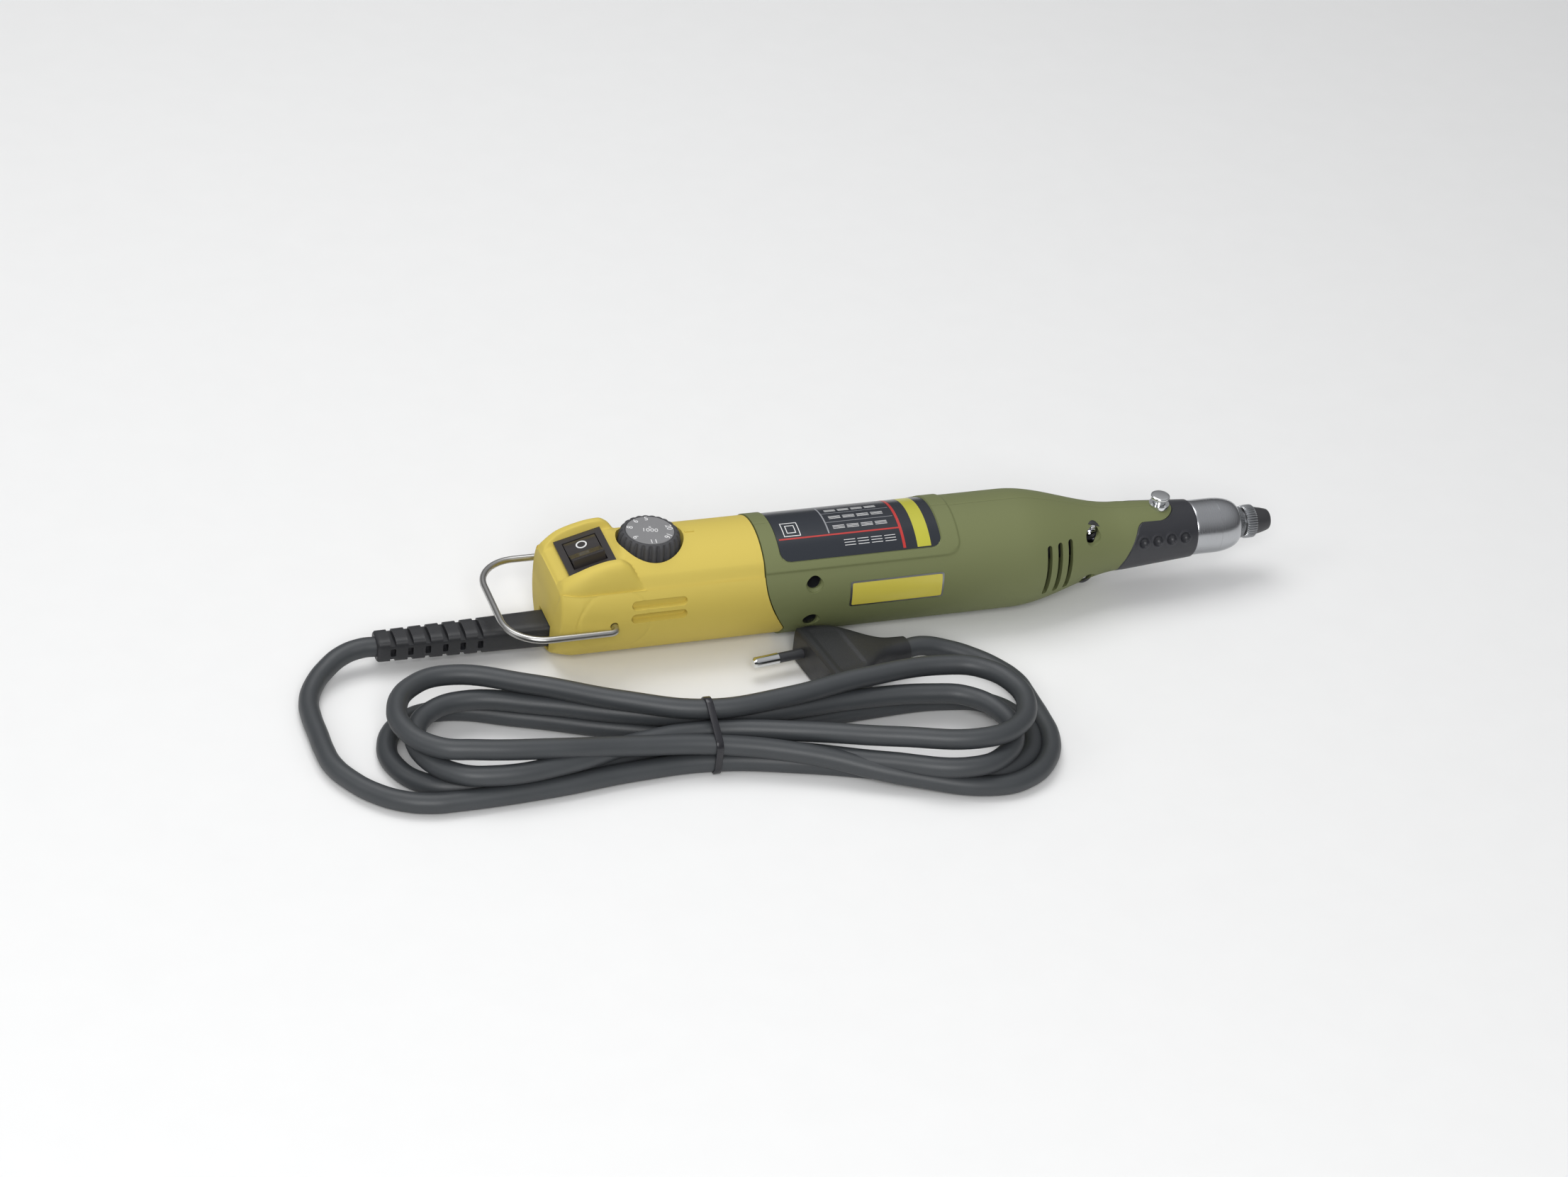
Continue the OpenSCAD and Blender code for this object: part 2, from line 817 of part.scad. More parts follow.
module brush_springs() {
  turns = 3;
  steps = 10 * turns;
  y0 = commutator_r + brush_len + 0.4;
  y1 = can_r - 1.6;
  color("#b0b2b5") on_axis()
    for (s = [-1, 1])
      rotate([s > 0 ? -90 : 90, 0, 0])
        swept_tube(
          [for (i = [0 : steps])
            let (a = 36 * i) [brush_u + 1.6 * cos(a), 1.6 * sin(a), y0 + (y1 - y0) * i / steps]],
          0.25, 6
        );
}

module brush_caps() {
  color("#2b2c30") on_axis()
    for (s = [-1, 1])
      translate([brush_u - 2.2, s > 0 ? can_r - 1.3 : -can_r + 0.3, -2.7]) cube([4.4, 1, 5.4]);
}

module cooling_fan() {
  hub_r = 6;
  color("#d9d6cc") on_axis() {
    difference() {
      union() {
        tube(hub_r, shaft_r + fit, fan_u, fan_u + fan_w);
        tube(fan_r, shaft_r + fit, fan_u, fan_u + 1.2);
        for (k = [0 : fan_blades - 1])
          rotate([360 * k / fan_blades, 0, 0])
            translate([fan_u, -0.6, hub_r - 0.5]) cube([fan_w - 1, 1.2, fan_r - hub_r]);
      }
    }
  }
}

// ---------------------------------------------------------------- electronics and controls

module circuit_board() {
  color("#3f6a3c") on_axis()
    translate([board_u, -board_w / 2, board_z]) cube([board_end - board_u, board_w, board_t]);
}

module speed_potentiometer() {
  z0 = board_z + board_t;
  color("#3b5f8f") on_axis()
    difference() {
      post(pot_d / 2, dial_u, z0, z0 + pot_h);
      post(pot_shaft_r + run, dial_u, z0 + 1.5, z0 + pot_h + 1);
    }
}

module pot_shaft() {
  z0 = board_z + board_t + 1.6;
  color("#c0c2c6") on_axis()
    difference() {
      post(pot_shaft_r, dial_u, z0, pot_shaft_top);
      translate([dial_u + 1.8, -5, recess_z]) cube([5, 10, 10]);
    }
}

module speed_knob() {
  foot = recess_z + loose;
  top = recess_z + dial_h;
  r = dial_d / 2;
  grooves = 24;
  color("#3e3f44") on_axis()
    difference() {
      translate([dial_u, 0, 0])
        rotate_extrude($fn = fine)
          polygon([
            [0, foot], [5.2, foot], [5.2, foot + 3], [r - 2, foot + 3], [r - 2, foot], [r, foot],
            [r - 0.7, top], [r - 2.2, top], [r - 2.2, top - 0.6], [0, top - 0.6]
          ]);
      post(pot_shaft_r + fit, dial_u, foot - 1, pot_shaft_top + 0.1);
      for (k = [0 : grooves - 1])
        translate([dial_u, 0, 0]) rotate([0, 0, 360 * k / grooves])
          translate([r + 0.45, 0, foot - 1]) cylinder(r = 1, h = dial_h - 0.2, $fn = 24);
    }
}

module knob_disc() {
  top = recess_z + dial_h;
  color("#7d7d7f") on_axis() post(dial_d / 2 - 2.3, dial_u, top - 0.6, top + 0.2);
}

module suppression_capacitor() {
  color("#c9a227") on_axis()
    translate([board_end - 16, -12, board_z + board_t]) cube([13, 7, 9]);
}

module choke_coils() {
  z0 = board_z + board_t;
  color("#b26a35") on_axis()
    for (k = [0, 1])
      translate([board_end - 14 + 7.5 * k, 8, z0])
        difference() {
          cylinder(r = 3.4, h = 8, $fn = 48);
          translate([0, 0, 1]) cylinder(r = 1.2, h = 8, $fn = 32);
        }
}

module triac_heat_sink() {
  color("#b9bbc0") on_axis() {
    translate([board_end - 16, -3, board_z + board_t]) cube([12, 1.2, 12]);
    translate([board_end - 14, -1.8, board_z + board_t]) cube([8, 3.2, 9]);
  }
}

module switch_frame() {
  flange = 1.4;
  color("#2d282a") on_axis()
    deck_frame()
      difference() {
        union() {
          translate([-switch_l / 2, -switch_w / 2, 0]) cube([switch_l, switch_w, flange]);
          translate([-switch_l / 2 + 0.7, -switch_w / 2 + 0.7, -switch_depth])
            cube([switch_l - 1.4, switch_w - 1.4, switch_depth]);
        }
        translate([-rocker_l / 2 - loose, -rocker_w / 2 - 0.4, -7])
          cube([rocker_l + 2 * loose, rocker_w + 0.8, 12]);
        rotate([0, 90, 0])
          cylinder(r = rocker_pin_r + 0.08, h = rocker_l + 2.2, center = true, $fn = 32);
      }
}

module switch_rocker() {
  half = rocker_w / 2;
  color("#2d282a") on_axis()
    deck_frame()
      rotate([-rocker_tilt, 0, 0]) {
        rotate([90, 0, 90])
          linear_extrude(height = rocker_l, center = true)
            polygon([
              [0.2 - half, half * tan(rocker_tilt) + 1.4], [0, 1.4],
              [half - 0.2, half * tan(rocker_tilt) + 1.4],
              [half - 0.3, -1], [3, -4], [-3, -4], [-half + 0.3, -1]
            ]);
        rotate([0, 90, 0])
          cylinder(r = rocker_pin_r, h = rocker_l + 1.8, center = true, $fn = 32);
      }
}

module switch_terminals() {
  color("#b59a4a") on_axis()
    deck_frame()
      for (x = [-4, 4], y = [-5, 5])
        translate([x - 0.4, y - 2.2, -switch_depth - 5]) cube([0.8, 4.4, 5]);
}

module mains_wires() {
  color("#5a6f9c") on_axis()
    for (s = [-1, 1])
      swept_tube([
        [7.4, 2.4 * s, boot_z], [9.5, 2.6 * s, boot_z + 0.4], [12.5, 3.4 * s, boot_z + 3],
        [14.8, 4.4 * s, boot_z + 6], [16, 5 * s, boot_z + 9], [17.1, 5 * s, boot_z + 11]
      ], 0.9, 8);
}

module motor_wires() {
  color("#a03a34") on_axis()
    for (s = [-1, 1])
      swept_tube([
        [board_end + 0.1, 6 * s, board_z + 0.8], [board_end + 4, 6.4 * s, board_z + 0.4],
        [board_end + 10, 8 * s, board_z - 1.4], [cap_end + 8, 11 * s, 0], [bell_u - 8, 11.6 * s, 0],
        [bell_u - 0.1, 11.6 * s, 0]
      ], 0.9, 8);
}

// ---------------------------------------------------------------- hanger, strain relief and lead

// The bail lies level behind its pivot: two arms, two round corners and a rear bar
module hanger_wire() {
  corner = bail_corner;
  rear = bail_u - bail_reach;
  straight = bail_reach - corner;
  color("#c4c6c9") on_axis()
    translate([0, 0, bail_z]) {
      for (s = [-1, 1]) {
        ends = [s * (bail_y - pivot_depth), s * bail_y];
        cross_bar(bail_r, bail_u, min(ends), max(ends), 0);
        translate([bail_u, s * bail_y, 0]) sphere(r = bail_r, $fn = 32);
        translate([rear + corner, s * bail_y, 0]) rotate([0, 90, 0])
          cylinder(r = bail_r, h = straight, $fn = 48);
        translate([rear + corner, s * (bail_y - corner), 0])
          rotate([0, 0, s > 0 ? 90 : 180])
            rotate_extrude(angle = 90, $fn = fine) translate([corner, 0]) circle(r = bail_r, $fn = 48);
      }
      cross_bar(bail_r, rear, -bail_y + corner, bail_y - corner, 0);
    }
}

module boot_section(w, h) {
  rotate([90, 0, 90])
    linear_extrude(height = 0.2)
      hull() {
        for (y = [-w / 2 + 2, w / 2 - 2], z = [-h / 2 + 2, h / 2 - 2])
          translate([y, z]) circle(r = 2, $fn = 24);
      }
}

module cord_boot() {
  first = boot_len - 4.5;
  color("#303136") on_axis() {
    difference() {
      hull() {
        translate([-boot_len, 0, boot_z]) boot_section(9.6, 8.8);
        translate([-0.2, 0, boot_z]) boot_section(boot_w, boot_h);
      }
      for (k = [0 : boot_slots - 1]) {
        u = -first + slot_pitch * k;
        difference() {
          translate([u, -10, boot_z + 2.2]) cube([1.9, 20, 10]);
          translate([u - 1, -3, boot_z - 5]) cube([4, 6, 8.4]);
        }
        difference() {
          translate([u, -10, boot_z - 12.2]) cube([1.9, 20, 10]);
          translate([u - 1, -3, boot_z - 3.4]) cube([4, 6, 8.4]);
        }
      }
    }
    translate([0, -boot_w / 2, boot_z - boot_h / 2]) cube([3, boot_w, boot_h]);
    translate([3.05, -boot_w / 2 - 1.5, boot_z - 3.1]) cube([2.6, boot_w + 3, 6.6]);
  }
}

module cord_clamp() {
  color("#3a3b3f") on_axis()
    difference() {
      translate([5.7, -8, boot_z - 3]) cube([7, 16, 2.2]);
      for (s = [-1, 1]) translate([9.2, 5.6 * s, boot_z - 5]) cylinder(r = 1.25, h = 6, $fn = 32);
    }
}

module clamp_screws() {
  color("#b8b8bc") on_axis()
    for (s = [-1, 1])
      translate([9.2, 5.6 * s, 0]) {
        translate([0, 0, boot_z - 0.8]) cylinder(r = 2.1, h = 1.4, $fn = 32);
        translate([0, 0, boot_z - 3.4]) cylinder(r = 1.2, h = 2.8, $fn = 32);
      }
}

module cord_lead() {
  color("#4b5052") swept_tube(LEAD, cord_d / 2, 10);
}

module cord_tail() {
  color("#4b5052") swept_tube(TAIL, cord_d / 2, 10);
}

// The folded lead: two lobes that meet in a tied waist, lifted off the floor under the tie
module cord_hank() {
  color("#4b5052")
    difference() {
      linear_extrude(height = hank_h) {
        hull() {
          translate(hank_left) circle(r = hank_r, $fn = 48);
          translate(hank_waist) circle(r = waist_r, $fn = 32);
        }
        hull() {
          translate(hank_right) circle(r = hank_r, $fn = 48);
          translate(hank_waist) circle(r = waist_r, $fn = 32);
        }
      }
      // groove that the tie sits in, all round the waist
      translate([hank_waist[0], hank_waist[1], 0])
        difference() {
          translate([-tie_w / 2 - 0.2, -2 * waist_r, -1]) cube([tie_w + 0.4, 4 * waist_r, hank_h + 2]);
          translate([-tie_w, -waist_r, tie_t + 0.05]) cube([2 * tie_w, 2 * waist_r, hank_h]);
        }
    }
}

module cord_tie() {
  inner_w = 2 * waist_r + 0.1;
  color("#1e1f22")
    translate([hank_waist[0] - tie_w / 2, hank_waist[1], 0])
      difference() {
        translate([0, -inner_w / 2 - tie_t, 0]) cube([tie_w, inner_w + 2 * tie_t, hank_h + tie_t + 0.1]);
        translate([-1, -inner_w / 2, tie_t]) cube([tie_w + 2, inner_w, hank_h - tie_t + 0.05]);
      }
}

module plug_place() {
  translate([plug_face[0], plug_face[1], plug_t / 2]) rotate([0, 0, plug_turn]) children();
}

module plug_body() {
  color("#2b2c30") plug_place()
    difference() {
      hull() {
        translate([0.6, -plug_w / 2, -plug_t / 2]) cube([0.1, plug_w, plug_t]);
        translate([0, -plug_w / 2 + 1, -plug_t / 2 + 1]) cube([0.1, plug_w - 2, plug_t - 2]);
        translate([13, -plug_w / 2 + 2.6, -plug_t / 2]) cube([0.1, plug_w - 5.2, plug_t]);
        translate([22, -6, -plug_t / 2 + 1]) cube([0.1, 12, plug_t - 2]);
        translate([plug_len - 0.1, -4.4, -4.4]) cube([0.1, 8.8, 8.8]);
      }
      for (s = [-1, 1])
        translate([-1, s * pin_pitch / 2, 0]) rotate([0, 90, 0])
          cylinder(d = sleeve_d + 2 * fit, h = 9, $fn = 48);
    }
}

module plug_sleeves() {
  color("#26272a") plug_place()
    for (s = [-1, 1])
      translate([-pin_len + pin_metal, s * pin_pitch / 2, 0]) rotate([0, 90, 0])
        difference() {
          cylinder(d = sleeve_d, h = pin_len - pin_metal + 4, $fn = 48);
          translate([0, 0, -1]) cylinder(d = pin_d - 1.2, h = 30, $fn = 48);
        }
}

module plug_pins() {
  color("#c9cbce") plug_place()
    for (s = [-1, 1])
      translate([-pin_len, s * pin_pitch / 2, 0]) rotate([0, 90, 0]) {
        translate([0, 0, 0.8]) cylinder(d = pin_d, h = pin_metal - 0.85, $fn = 48);
        cylinder(d1 = pin_d - 1.6, d2 = pin_d, h = 0.8, $fn = 48);
        translate([0, 0, pin_metal - 0.05])
          cylinder(d = pin_d - 1.3, h = pin_len - pin_metal + 7.8, $fn = 48);
      }
}

rear_cap();
housing_near();
housing_far();
grip_sleeve();
nose_collar();
nose_cone();
nose_ring();
housing_screws();
rating_label();
side_badges();
spindle();
spindle_front_bearing();
spindle_rear_bearing();
collet();
collet_nut();
shaft_coupling();
lock_guide();
lock_button();
lock_spring();
motor_can();
field_magnets();
motor_end_bell();
motor_shaft();
motor_front_bearing();
motor_rear_bearing();
armature_core();
armature_windings();
commutator();
brush_holders();
carbon_brushes();
brush_springs();
brush_caps();
cooling_fan();
circuit_board();
speed_potentiometer();
pot_shaft();
speed_knob();
knob_disc();
suppression_capacitor();
choke_coils();
triac_heat_sink();
switch_frame();
switch_rocker();
switch_terminals();
mains_wires();
motor_wires();
hanger_wire();
cord_boot();
cord_clamp();
clamp_screws();
cord_lead();
cord_hank();
cord_tail();
cord_tie();
plug_body();
plug_sleeves();
plug_pins();
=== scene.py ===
"""Looks of a handheld rotary tool: its shells, grip, nose, controls, hanging bail and mains lead.

Sizes in the classes are millimetres on the tool's own axis: u runs from the rear face of the cap to the
nose, y goes across and z up from the spindle. Axis.place turns them into metres in the model's frame.
"""
import logging
import math
from dataclasses import dataclass
from enum import Enum

import bpy
import numpy as np
from mathutils import Matrix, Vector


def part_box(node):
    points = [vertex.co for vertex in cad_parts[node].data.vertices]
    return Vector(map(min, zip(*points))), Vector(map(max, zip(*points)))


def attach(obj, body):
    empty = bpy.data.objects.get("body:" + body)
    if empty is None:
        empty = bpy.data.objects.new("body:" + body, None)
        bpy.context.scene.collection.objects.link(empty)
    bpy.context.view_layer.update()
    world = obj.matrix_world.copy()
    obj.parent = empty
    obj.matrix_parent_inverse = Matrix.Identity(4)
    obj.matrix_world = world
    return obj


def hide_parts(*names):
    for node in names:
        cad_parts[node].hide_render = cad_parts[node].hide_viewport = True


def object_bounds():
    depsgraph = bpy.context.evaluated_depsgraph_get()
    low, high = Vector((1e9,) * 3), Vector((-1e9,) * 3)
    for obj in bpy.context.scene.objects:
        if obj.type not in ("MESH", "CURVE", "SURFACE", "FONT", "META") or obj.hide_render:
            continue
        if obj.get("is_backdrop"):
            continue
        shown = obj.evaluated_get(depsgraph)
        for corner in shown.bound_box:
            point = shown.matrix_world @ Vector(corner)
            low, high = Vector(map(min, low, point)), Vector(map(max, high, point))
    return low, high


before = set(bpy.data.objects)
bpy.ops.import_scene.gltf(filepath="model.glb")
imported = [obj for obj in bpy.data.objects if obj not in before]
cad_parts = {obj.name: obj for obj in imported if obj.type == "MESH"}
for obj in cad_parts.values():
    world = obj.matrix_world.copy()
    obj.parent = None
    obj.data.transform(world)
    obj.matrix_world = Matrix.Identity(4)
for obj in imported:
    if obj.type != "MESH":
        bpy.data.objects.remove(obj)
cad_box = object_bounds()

LOG = logging.getLogger("rotary_tool")
MM = 0.001


# ------------------------------------------------------------------------------------------ numbers


def ease(t: np.ndarray) -> np.ndarray:
    """Smooth step: 0 below 0, 1 above 1, and 3t^2 - 2t^3 between."""
    t = np.clip(t, 0.0, 1.0)
    return t * t * (3.0 - 2.0 * t)


def through(xs: list[float], ys: list[float], x: np.ndarray) -> np.ndarray:
    """Monotone cubic through given points: each slope is the harmonic mean of its two neighbours.

    Args:
        xs: rising places of the points.
        ys: their values.
        x: places to work the curve out at.

    Returns:
        The curve's values, held constant outside the points.
    """
    px, py = np.asarray(xs, float), np.asarray(ys, float)
    step = np.diff(px)
    rise = np.diff(py) / step
    pair = rise[1:] * rise[:-1]
    inner = np.where(pair > 0, 2.0 * pair / np.where(pair > 0, rise[1:] + rise[:-1], 1.0), 0.0)
    slope = np.concatenate([rise[:1], inner, rise[-1:]])
    i = np.clip(np.searchsorted(px, x, side="right") - 1, 0, len(step) - 1)
    h = step[i]
    t = np.clip((x - px[i]) / h, 0.0, 1.0)
    near = (1 + 2 * t) * (1 - t) ** 2 * py[i] + t * (1 - t) ** 2 * h * slope[i]
    far = t * t * (3 - 2 * t) * py[i + 1] + t * t * (t - 1) * h * slope[i + 1]
    return near + far


def spaced(low: float, high: float, step: float, edges: tuple[float, ...] = ()) -> np.ndarray:
    """Places from low to high, a step apart, with closer ones on both sides of each named edge.

    Args:
        low: first place.
        high: last place.
        step: usual distance.
        edges: places that need finer steps within a millimetre of them.

    Returns:
        The sorted places.
    """
    count = max(2, int(round((high - low) / step)) + 1)
    fine = [edge + np.linspace(-1.0, 1.0, 9) for edge in edges]
    every = np.concatenate([np.linspace(low, high, count), *fine])
    every = np.unique(np.round(np.clip(every, low, high), 4))
    keep = np.concatenate([[True], np.diff(every) > 0.05])
    every = every[keep]
    every[-1] = high
    return every


def rounded_box(x: np.ndarray, y: np.ndarray, half: tuple[float, float], radius: float) -> np.ndarray:
    """Signed distance to a rounded rectangle about the origin, negative inside it.

    Args:
        x: first coordinate.
        y: second coordinate.
        half: half length and half width.
        radius: corner radius.

    Returns:
        The distance at each point.
    """
    dx, dy = np.abs(x) - half[0] + radius, np.abs(y) - half[1] + radius
    outside = np.hypot(np.maximum(dx, 0), np.maximum(dy, 0))
    return outside + np.minimum(np.maximum(dx, dy), 0) - radius


# ------------------------------------------------------------------------------------------- meshes


@dataclass(frozen=True)
class Axis:
    """The tool's own axis in the model's frame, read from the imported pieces."""

    rear: float
    height: float

    @classmethod
    def from_frame(cls) -> "Axis":
        """Takes the rear face from the cap and the height from the round nose collar.

        Returns:
            The tool's axis in the frame.
        """
        cap_low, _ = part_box("rear_cap")
        low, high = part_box("nose_collar")
        return cls(float(cap_low[0]), float(low[2] + high[2]) / 2)

    def place(self, points: np.ndarray) -> np.ndarray:
        """Turns (u, y, z) in millimetres into metres in the frame."""
        return np.asarray(points, float) * MM + np.array([self.rear, 0.0, self.height])


def grid_quads(rows: int, cols: int, wrap_rows: bool, wrap_cols: bool) -> np.ndarray:
    """Quads of a grid whose point (i, j) is number i * cols + j.

    Args:
        rows: number of rows.
        cols: number of points in a row.
        wrap_rows: whether the last row joins the first.
        wrap_cols: whether each row is a closed ring.

    Returns:
        An array of four point numbers a quad.
    """
    i, j = np.meshgrid(
        np.arange(rows if wrap_rows else rows - 1), np.arange(cols if wrap_cols else cols - 1), indexing="ij"
    )
    below, beside = (i + 1) % rows, (j + 1) % cols
    quads = np.stack([i * cols + j, i * cols + beside, below * cols + beside, below * cols + j], axis=-1)
    return quads.reshape(-1, 4)


class Ends(Enum):
    """How a loft is closed at its first and last ring."""

    CAPS = "caps"
    LOOP = "loop"
    SHELL = "shell"


def loft(name: str, rings: np.ndarray, ends: Ends = Ends.CAPS, crease: float = 32.0) -> bpy.types.Object:
    """A closed solid through a row of closed rings, with its faces turned outwards.

    The signed volume, the sum of a . (b x c) / 6 over its triangles, tells which way the faces point.

    Args:
        name: the piece's name.
        rings: points in metres, as (rings, points in a ring, 3).
        ends: a face at each end, a loop that meets itself, or for a shell's C-shaped ring a strip that
            joins each outer point to its inner partner.
        crease: angle in degrees past which an edge stays sharp.

    Returns:
        The new object, at the origin.
    """
    rows, cols = rings.shape[:2]
    points = rings.reshape(-1, 3)
    quads = grid_quads(rows, cols, ends is Ends.LOOP, True)
    polygons: list[list[int]] = []
    last = (rows - 1) * cols
    if ends is Ends.CAPS:
        polygons = [list(range(cols))[::-1], [last + k for k in range(cols)]]
    if ends is Ends.SHELL:
        k = np.arange(cols // 2 - 1)
        strip = np.stack([k, cols - 1 - k, cols - 2 - k, k + 1], axis=-1)
        quads = np.concatenate([quads, strip, last + strip[:, ::-1]])
    a, b, c, d = (points[quads[:, n]] for n in range(4))
    volume = np.einsum("ij,ij->", a, np.cross(b, c)) + np.einsum("ij,ij->", a, np.cross(c, d))
    for ring in polygons:
        p = points[ring]
        volume += np.einsum("ij,ij->", np.broadcast_to(p[0], p[1:-1].shape), np.cross(p[1:-1], p[2:]))
    faces = quads.tolist() + polygons
    if volume < 0:
        faces = [face[::-1] for face in faces]
    mesh = bpy.data.meshes.new(name)
    mesh.from_pydata(points.tolist(), [], faces)
    mesh.update()
    piece = bpy.data.objects.new(name, mesh)
    bpy.context.scene.collection.objects.link(piece)
    soften(piece, crease)
    return piece


def soften(piece: bpy.types.Object, crease: float) -> None:
    """Shades a piece smooth except at its sharp edges.

    Args:
        piece: the piece to shade.
        crease: angle in degrees past which an edge stays sharp.
    """
    mesh = piece.data
    mesh.polygons.foreach_set("use_smooth", np.ones(len(mesh.polygons), bool))
    mesh.set_sharp_from_angle(angle=math.radians(crease))


def carve(piece: bpy.types.Object, cutters: list[bpy.types.Object], crease: float = 32.0) -> None:
    """Cuts closed solids out of a piece, one after another, and removes the solids.

    Args:
        piece: the piece that loses material.
        cutters: closed solids.
        crease: angle in degrees past which an edge stays sharp.
    """
    for cutter in cutters:
        cut = piece.modifiers.new("cut", "BOOLEAN")
        cut.operation, cut.solver, cut.object = "DIFFERENCE", "MANIFOLD", cutter
        graph = bpy.context.evaluated_depsgraph_get()
        done = bpy.data.meshes.new_from_object(piece.evaluated_get(graph))
        piece.modifiers.remove(cut)
        old, piece.data = piece.data, done
        bpy.data.meshes.remove(old)
        bpy.data.objects.remove(cutter)
    soften(piece, crease)


def circle(radius: float, count: int = 48) -> np.ndarray:
    """Outline points radius * (cos a, sin a)."""
    a = np.linspace(0, 2 * math.pi, count, endpoint=False)
    return radius * np.stack([np.cos(a), np.sin(a)], axis=-1)


def stadium(half: float, radius: float, count: int = 32) -> np.ndarray:
    """Outline of a slot along the first axis: a circle whose two halves are moved apart.

    Args:
        half: how far each half moves.
        radius: radius of the ends.
        count: number of points.

    Returns:
        The outline's points.
    """
    ring = circle(radius, count)
    ring[:, 0] += np.where(ring[:, 0] >= 0, half, -half)
    return ring


def block(half_x: float, half_y: float, radius: float, count: int = 32) -> np.ndarray:
    """Outline of a rectangle with round corners: a circle whose quarters are moved apart.

    Args:
        half_x: half the length.
        half_y: half the width.
        radius: radius of the corners.
        count: number of points.

    Returns:
        The outline's points.
    """
    a = np.linspace(0, 2 * math.pi, count, endpoint=False) + math.pi / count
    ring = radius * np.stack([np.cos(a), np.sin(a)], axis=-1)
    return ring + np.sign(ring) * np.array([half_x - radius, half_y - radius])


@dataclass(frozen=True)
class Toolmaker:
    """Makes solids in the tool's own millimetres."""

    axis: Axis

    def loft(
        self, name: str, rings: np.ndarray, ends: Ends = Ends.CAPS, crease: float = 32.0
    ) -> bpy.types.Object:
        """A loft whose rings are given in the tool's millimetres."""
        return loft(name, self.axis.place(rings), ends, crease)

    def turned(
        self,
        name: str,
        profile: list[tuple[float, float]],
        sides: int = 128,
        ribs: tuple[int, float, tuple[float, float]] | None = None,
        crease: float = 32.0,
    ) -> bpy.types.Object:
        """A ring turned about the tool's axis from a closed outline.

        A point (u, r) goes to (u, r sin a, r cos a). Ribs press a groove of depth times
        (0.5 - 0.5 cos(n a))^2 into the points whose u lies in their stretch.

        Args:
            name: the piece's name.
            profile: closed outline as (u, r), with every r over zero.
            sides: number of steps round the axis.
            ribs: number of ribs, depth, and their stretch of u on the outer side.
            crease: angle in degrees past which an edge stays sharp.

        Returns:
            The new object.
        """
        outline = np.asarray(profile, float)
        a = np.linspace(0, 2 * math.pi, sides, endpoint=False)[:, None]
        u, r = np.broadcast_to(outline[:, 0], (sides, len(outline))), outline[None, :, 1]
        if ribs:
            count, depth, (low, high) = ribs
            outer = (u >= low) & (u <= high) & (r > 0.8 * outline[:, 1].max())
            r = r - outer * depth * (0.5 - 0.5 * np.cos(count * a)) ** 2
        r = np.broadcast_to(r, u.shape)
        rings = np.stack([u, r * np.sin(a), r * np.cos(a)], axis=-1)
        return self.loft(name, rings, Ends.LOOP, crease)

    def spun(
        self,
        name: str,
        centre: tuple[float, float],
        profile: list[tuple[float, float]],
        sides: int = 96,
        crease: float = 32.0,
    ) -> bpy.types.Object:
        """A solid spun about an upright line, as rings (cx + r cos a, cy + r sin a, z).

        Args:
            name: the piece's name.
            centre: u and y of the line.
            profile: radius and height of each ring, from one end to the other.
            sides: number of steps round the line.
            crease: angle in degrees past which an edge stays sharp.

        Returns:
            The new object.
        """
        outline = np.asarray(profile, float)
        a = np.linspace(0, 2 * math.pi, sides, endpoint=False)[None, :]
        r, z = outline[:, :1], outline[:, 1:]
        rings = np.stack(
            [centre[0] + r * np.cos(a), centre[1] + r * np.sin(a), np.broadcast_to(z, (len(outline), sides))],
            axis=-1,
        )
        return self.loft(name, rings, Ends.CAPS, crease)

    def prism(
        self, levels: list[tuple[float, np.ndarray]], across: bool, centre: tuple[float, float]
    ) -> bpy.types.Object:
        """A cutter through equal outlines at rising places along Y or Z.

        Args:
            levels: place and outline of each ring; the outline's axes are u and z, or u and y.
            across: True for a cutter along Y, False for one along Z.
            centre: the outlines' centre.

        Returns:
            The new solid.
        """
        rings = []
        for place, outline in levels:
            first, second = outline[:, 0] + centre[0], outline[:, 1] + centre[1]
            level = np.full(len(outline), place)
            rings.append(np.stack([first, level, second] if across else [first, second, level], axis=-1))
        return self.loft("cutter", np.array(rings))

    def patch(
        self,
        name: str,
        u: tuple[float, float],
        deg: tuple[float, float],
        r: tuple[float, float],
        corner: float = 0.0,
    ) -> bpy.types.Object:
        """A curved plate over the crown: a piece of a tube wall with optional round corners.

        Each row across is shortened near its ends by corner - sqrt(corner^2 - d^2), where d is how far
        it lies inside the corner's square, so the outline turns its corner as an arc.

        Args:
            name: the piece's name.
            u: first and last station.
            deg: first and last angle from the crown, in degrees, positive to +Y.
            r: inner and outer radius.
            corner: corner radius.

        Returns:
            The new object.
        """
        arc = math.radians(1.0) * r[1]
        low, high = deg[0] * arc, deg[1] * arc
        across = spaced(low, high, 0.8, (low, high)) if corner else np.linspace(low, high, 40)
        inside = np.clip(np.maximum(low + corner - across, across - (high - corner)), 0.0, corner)
        cut = corner - np.sqrt(np.maximum(corner**2 - inside**2, 0.0))
        a = across / r[1]
        t = np.linspace(0.0, 1.0, 24)[:, None]
        stations = (u[0] + cut) + t * (u[1] - u[0] - 2 * cut)
        outer = np.stack(np.broadcast_arrays(stations, r[1] * np.sin(a), r[1] * np.cos(a)), axis=-1)
        inner = np.stack(np.broadcast_arrays(stations, r[0] * np.sin(a), r[0] * np.cos(a)), axis=-1)
        return self.loft(name, np.concatenate([outer, inner[:, ::-1]], axis=1), Ends.SHELL)


# ----------------------------------------------------------------------------------------- finishes


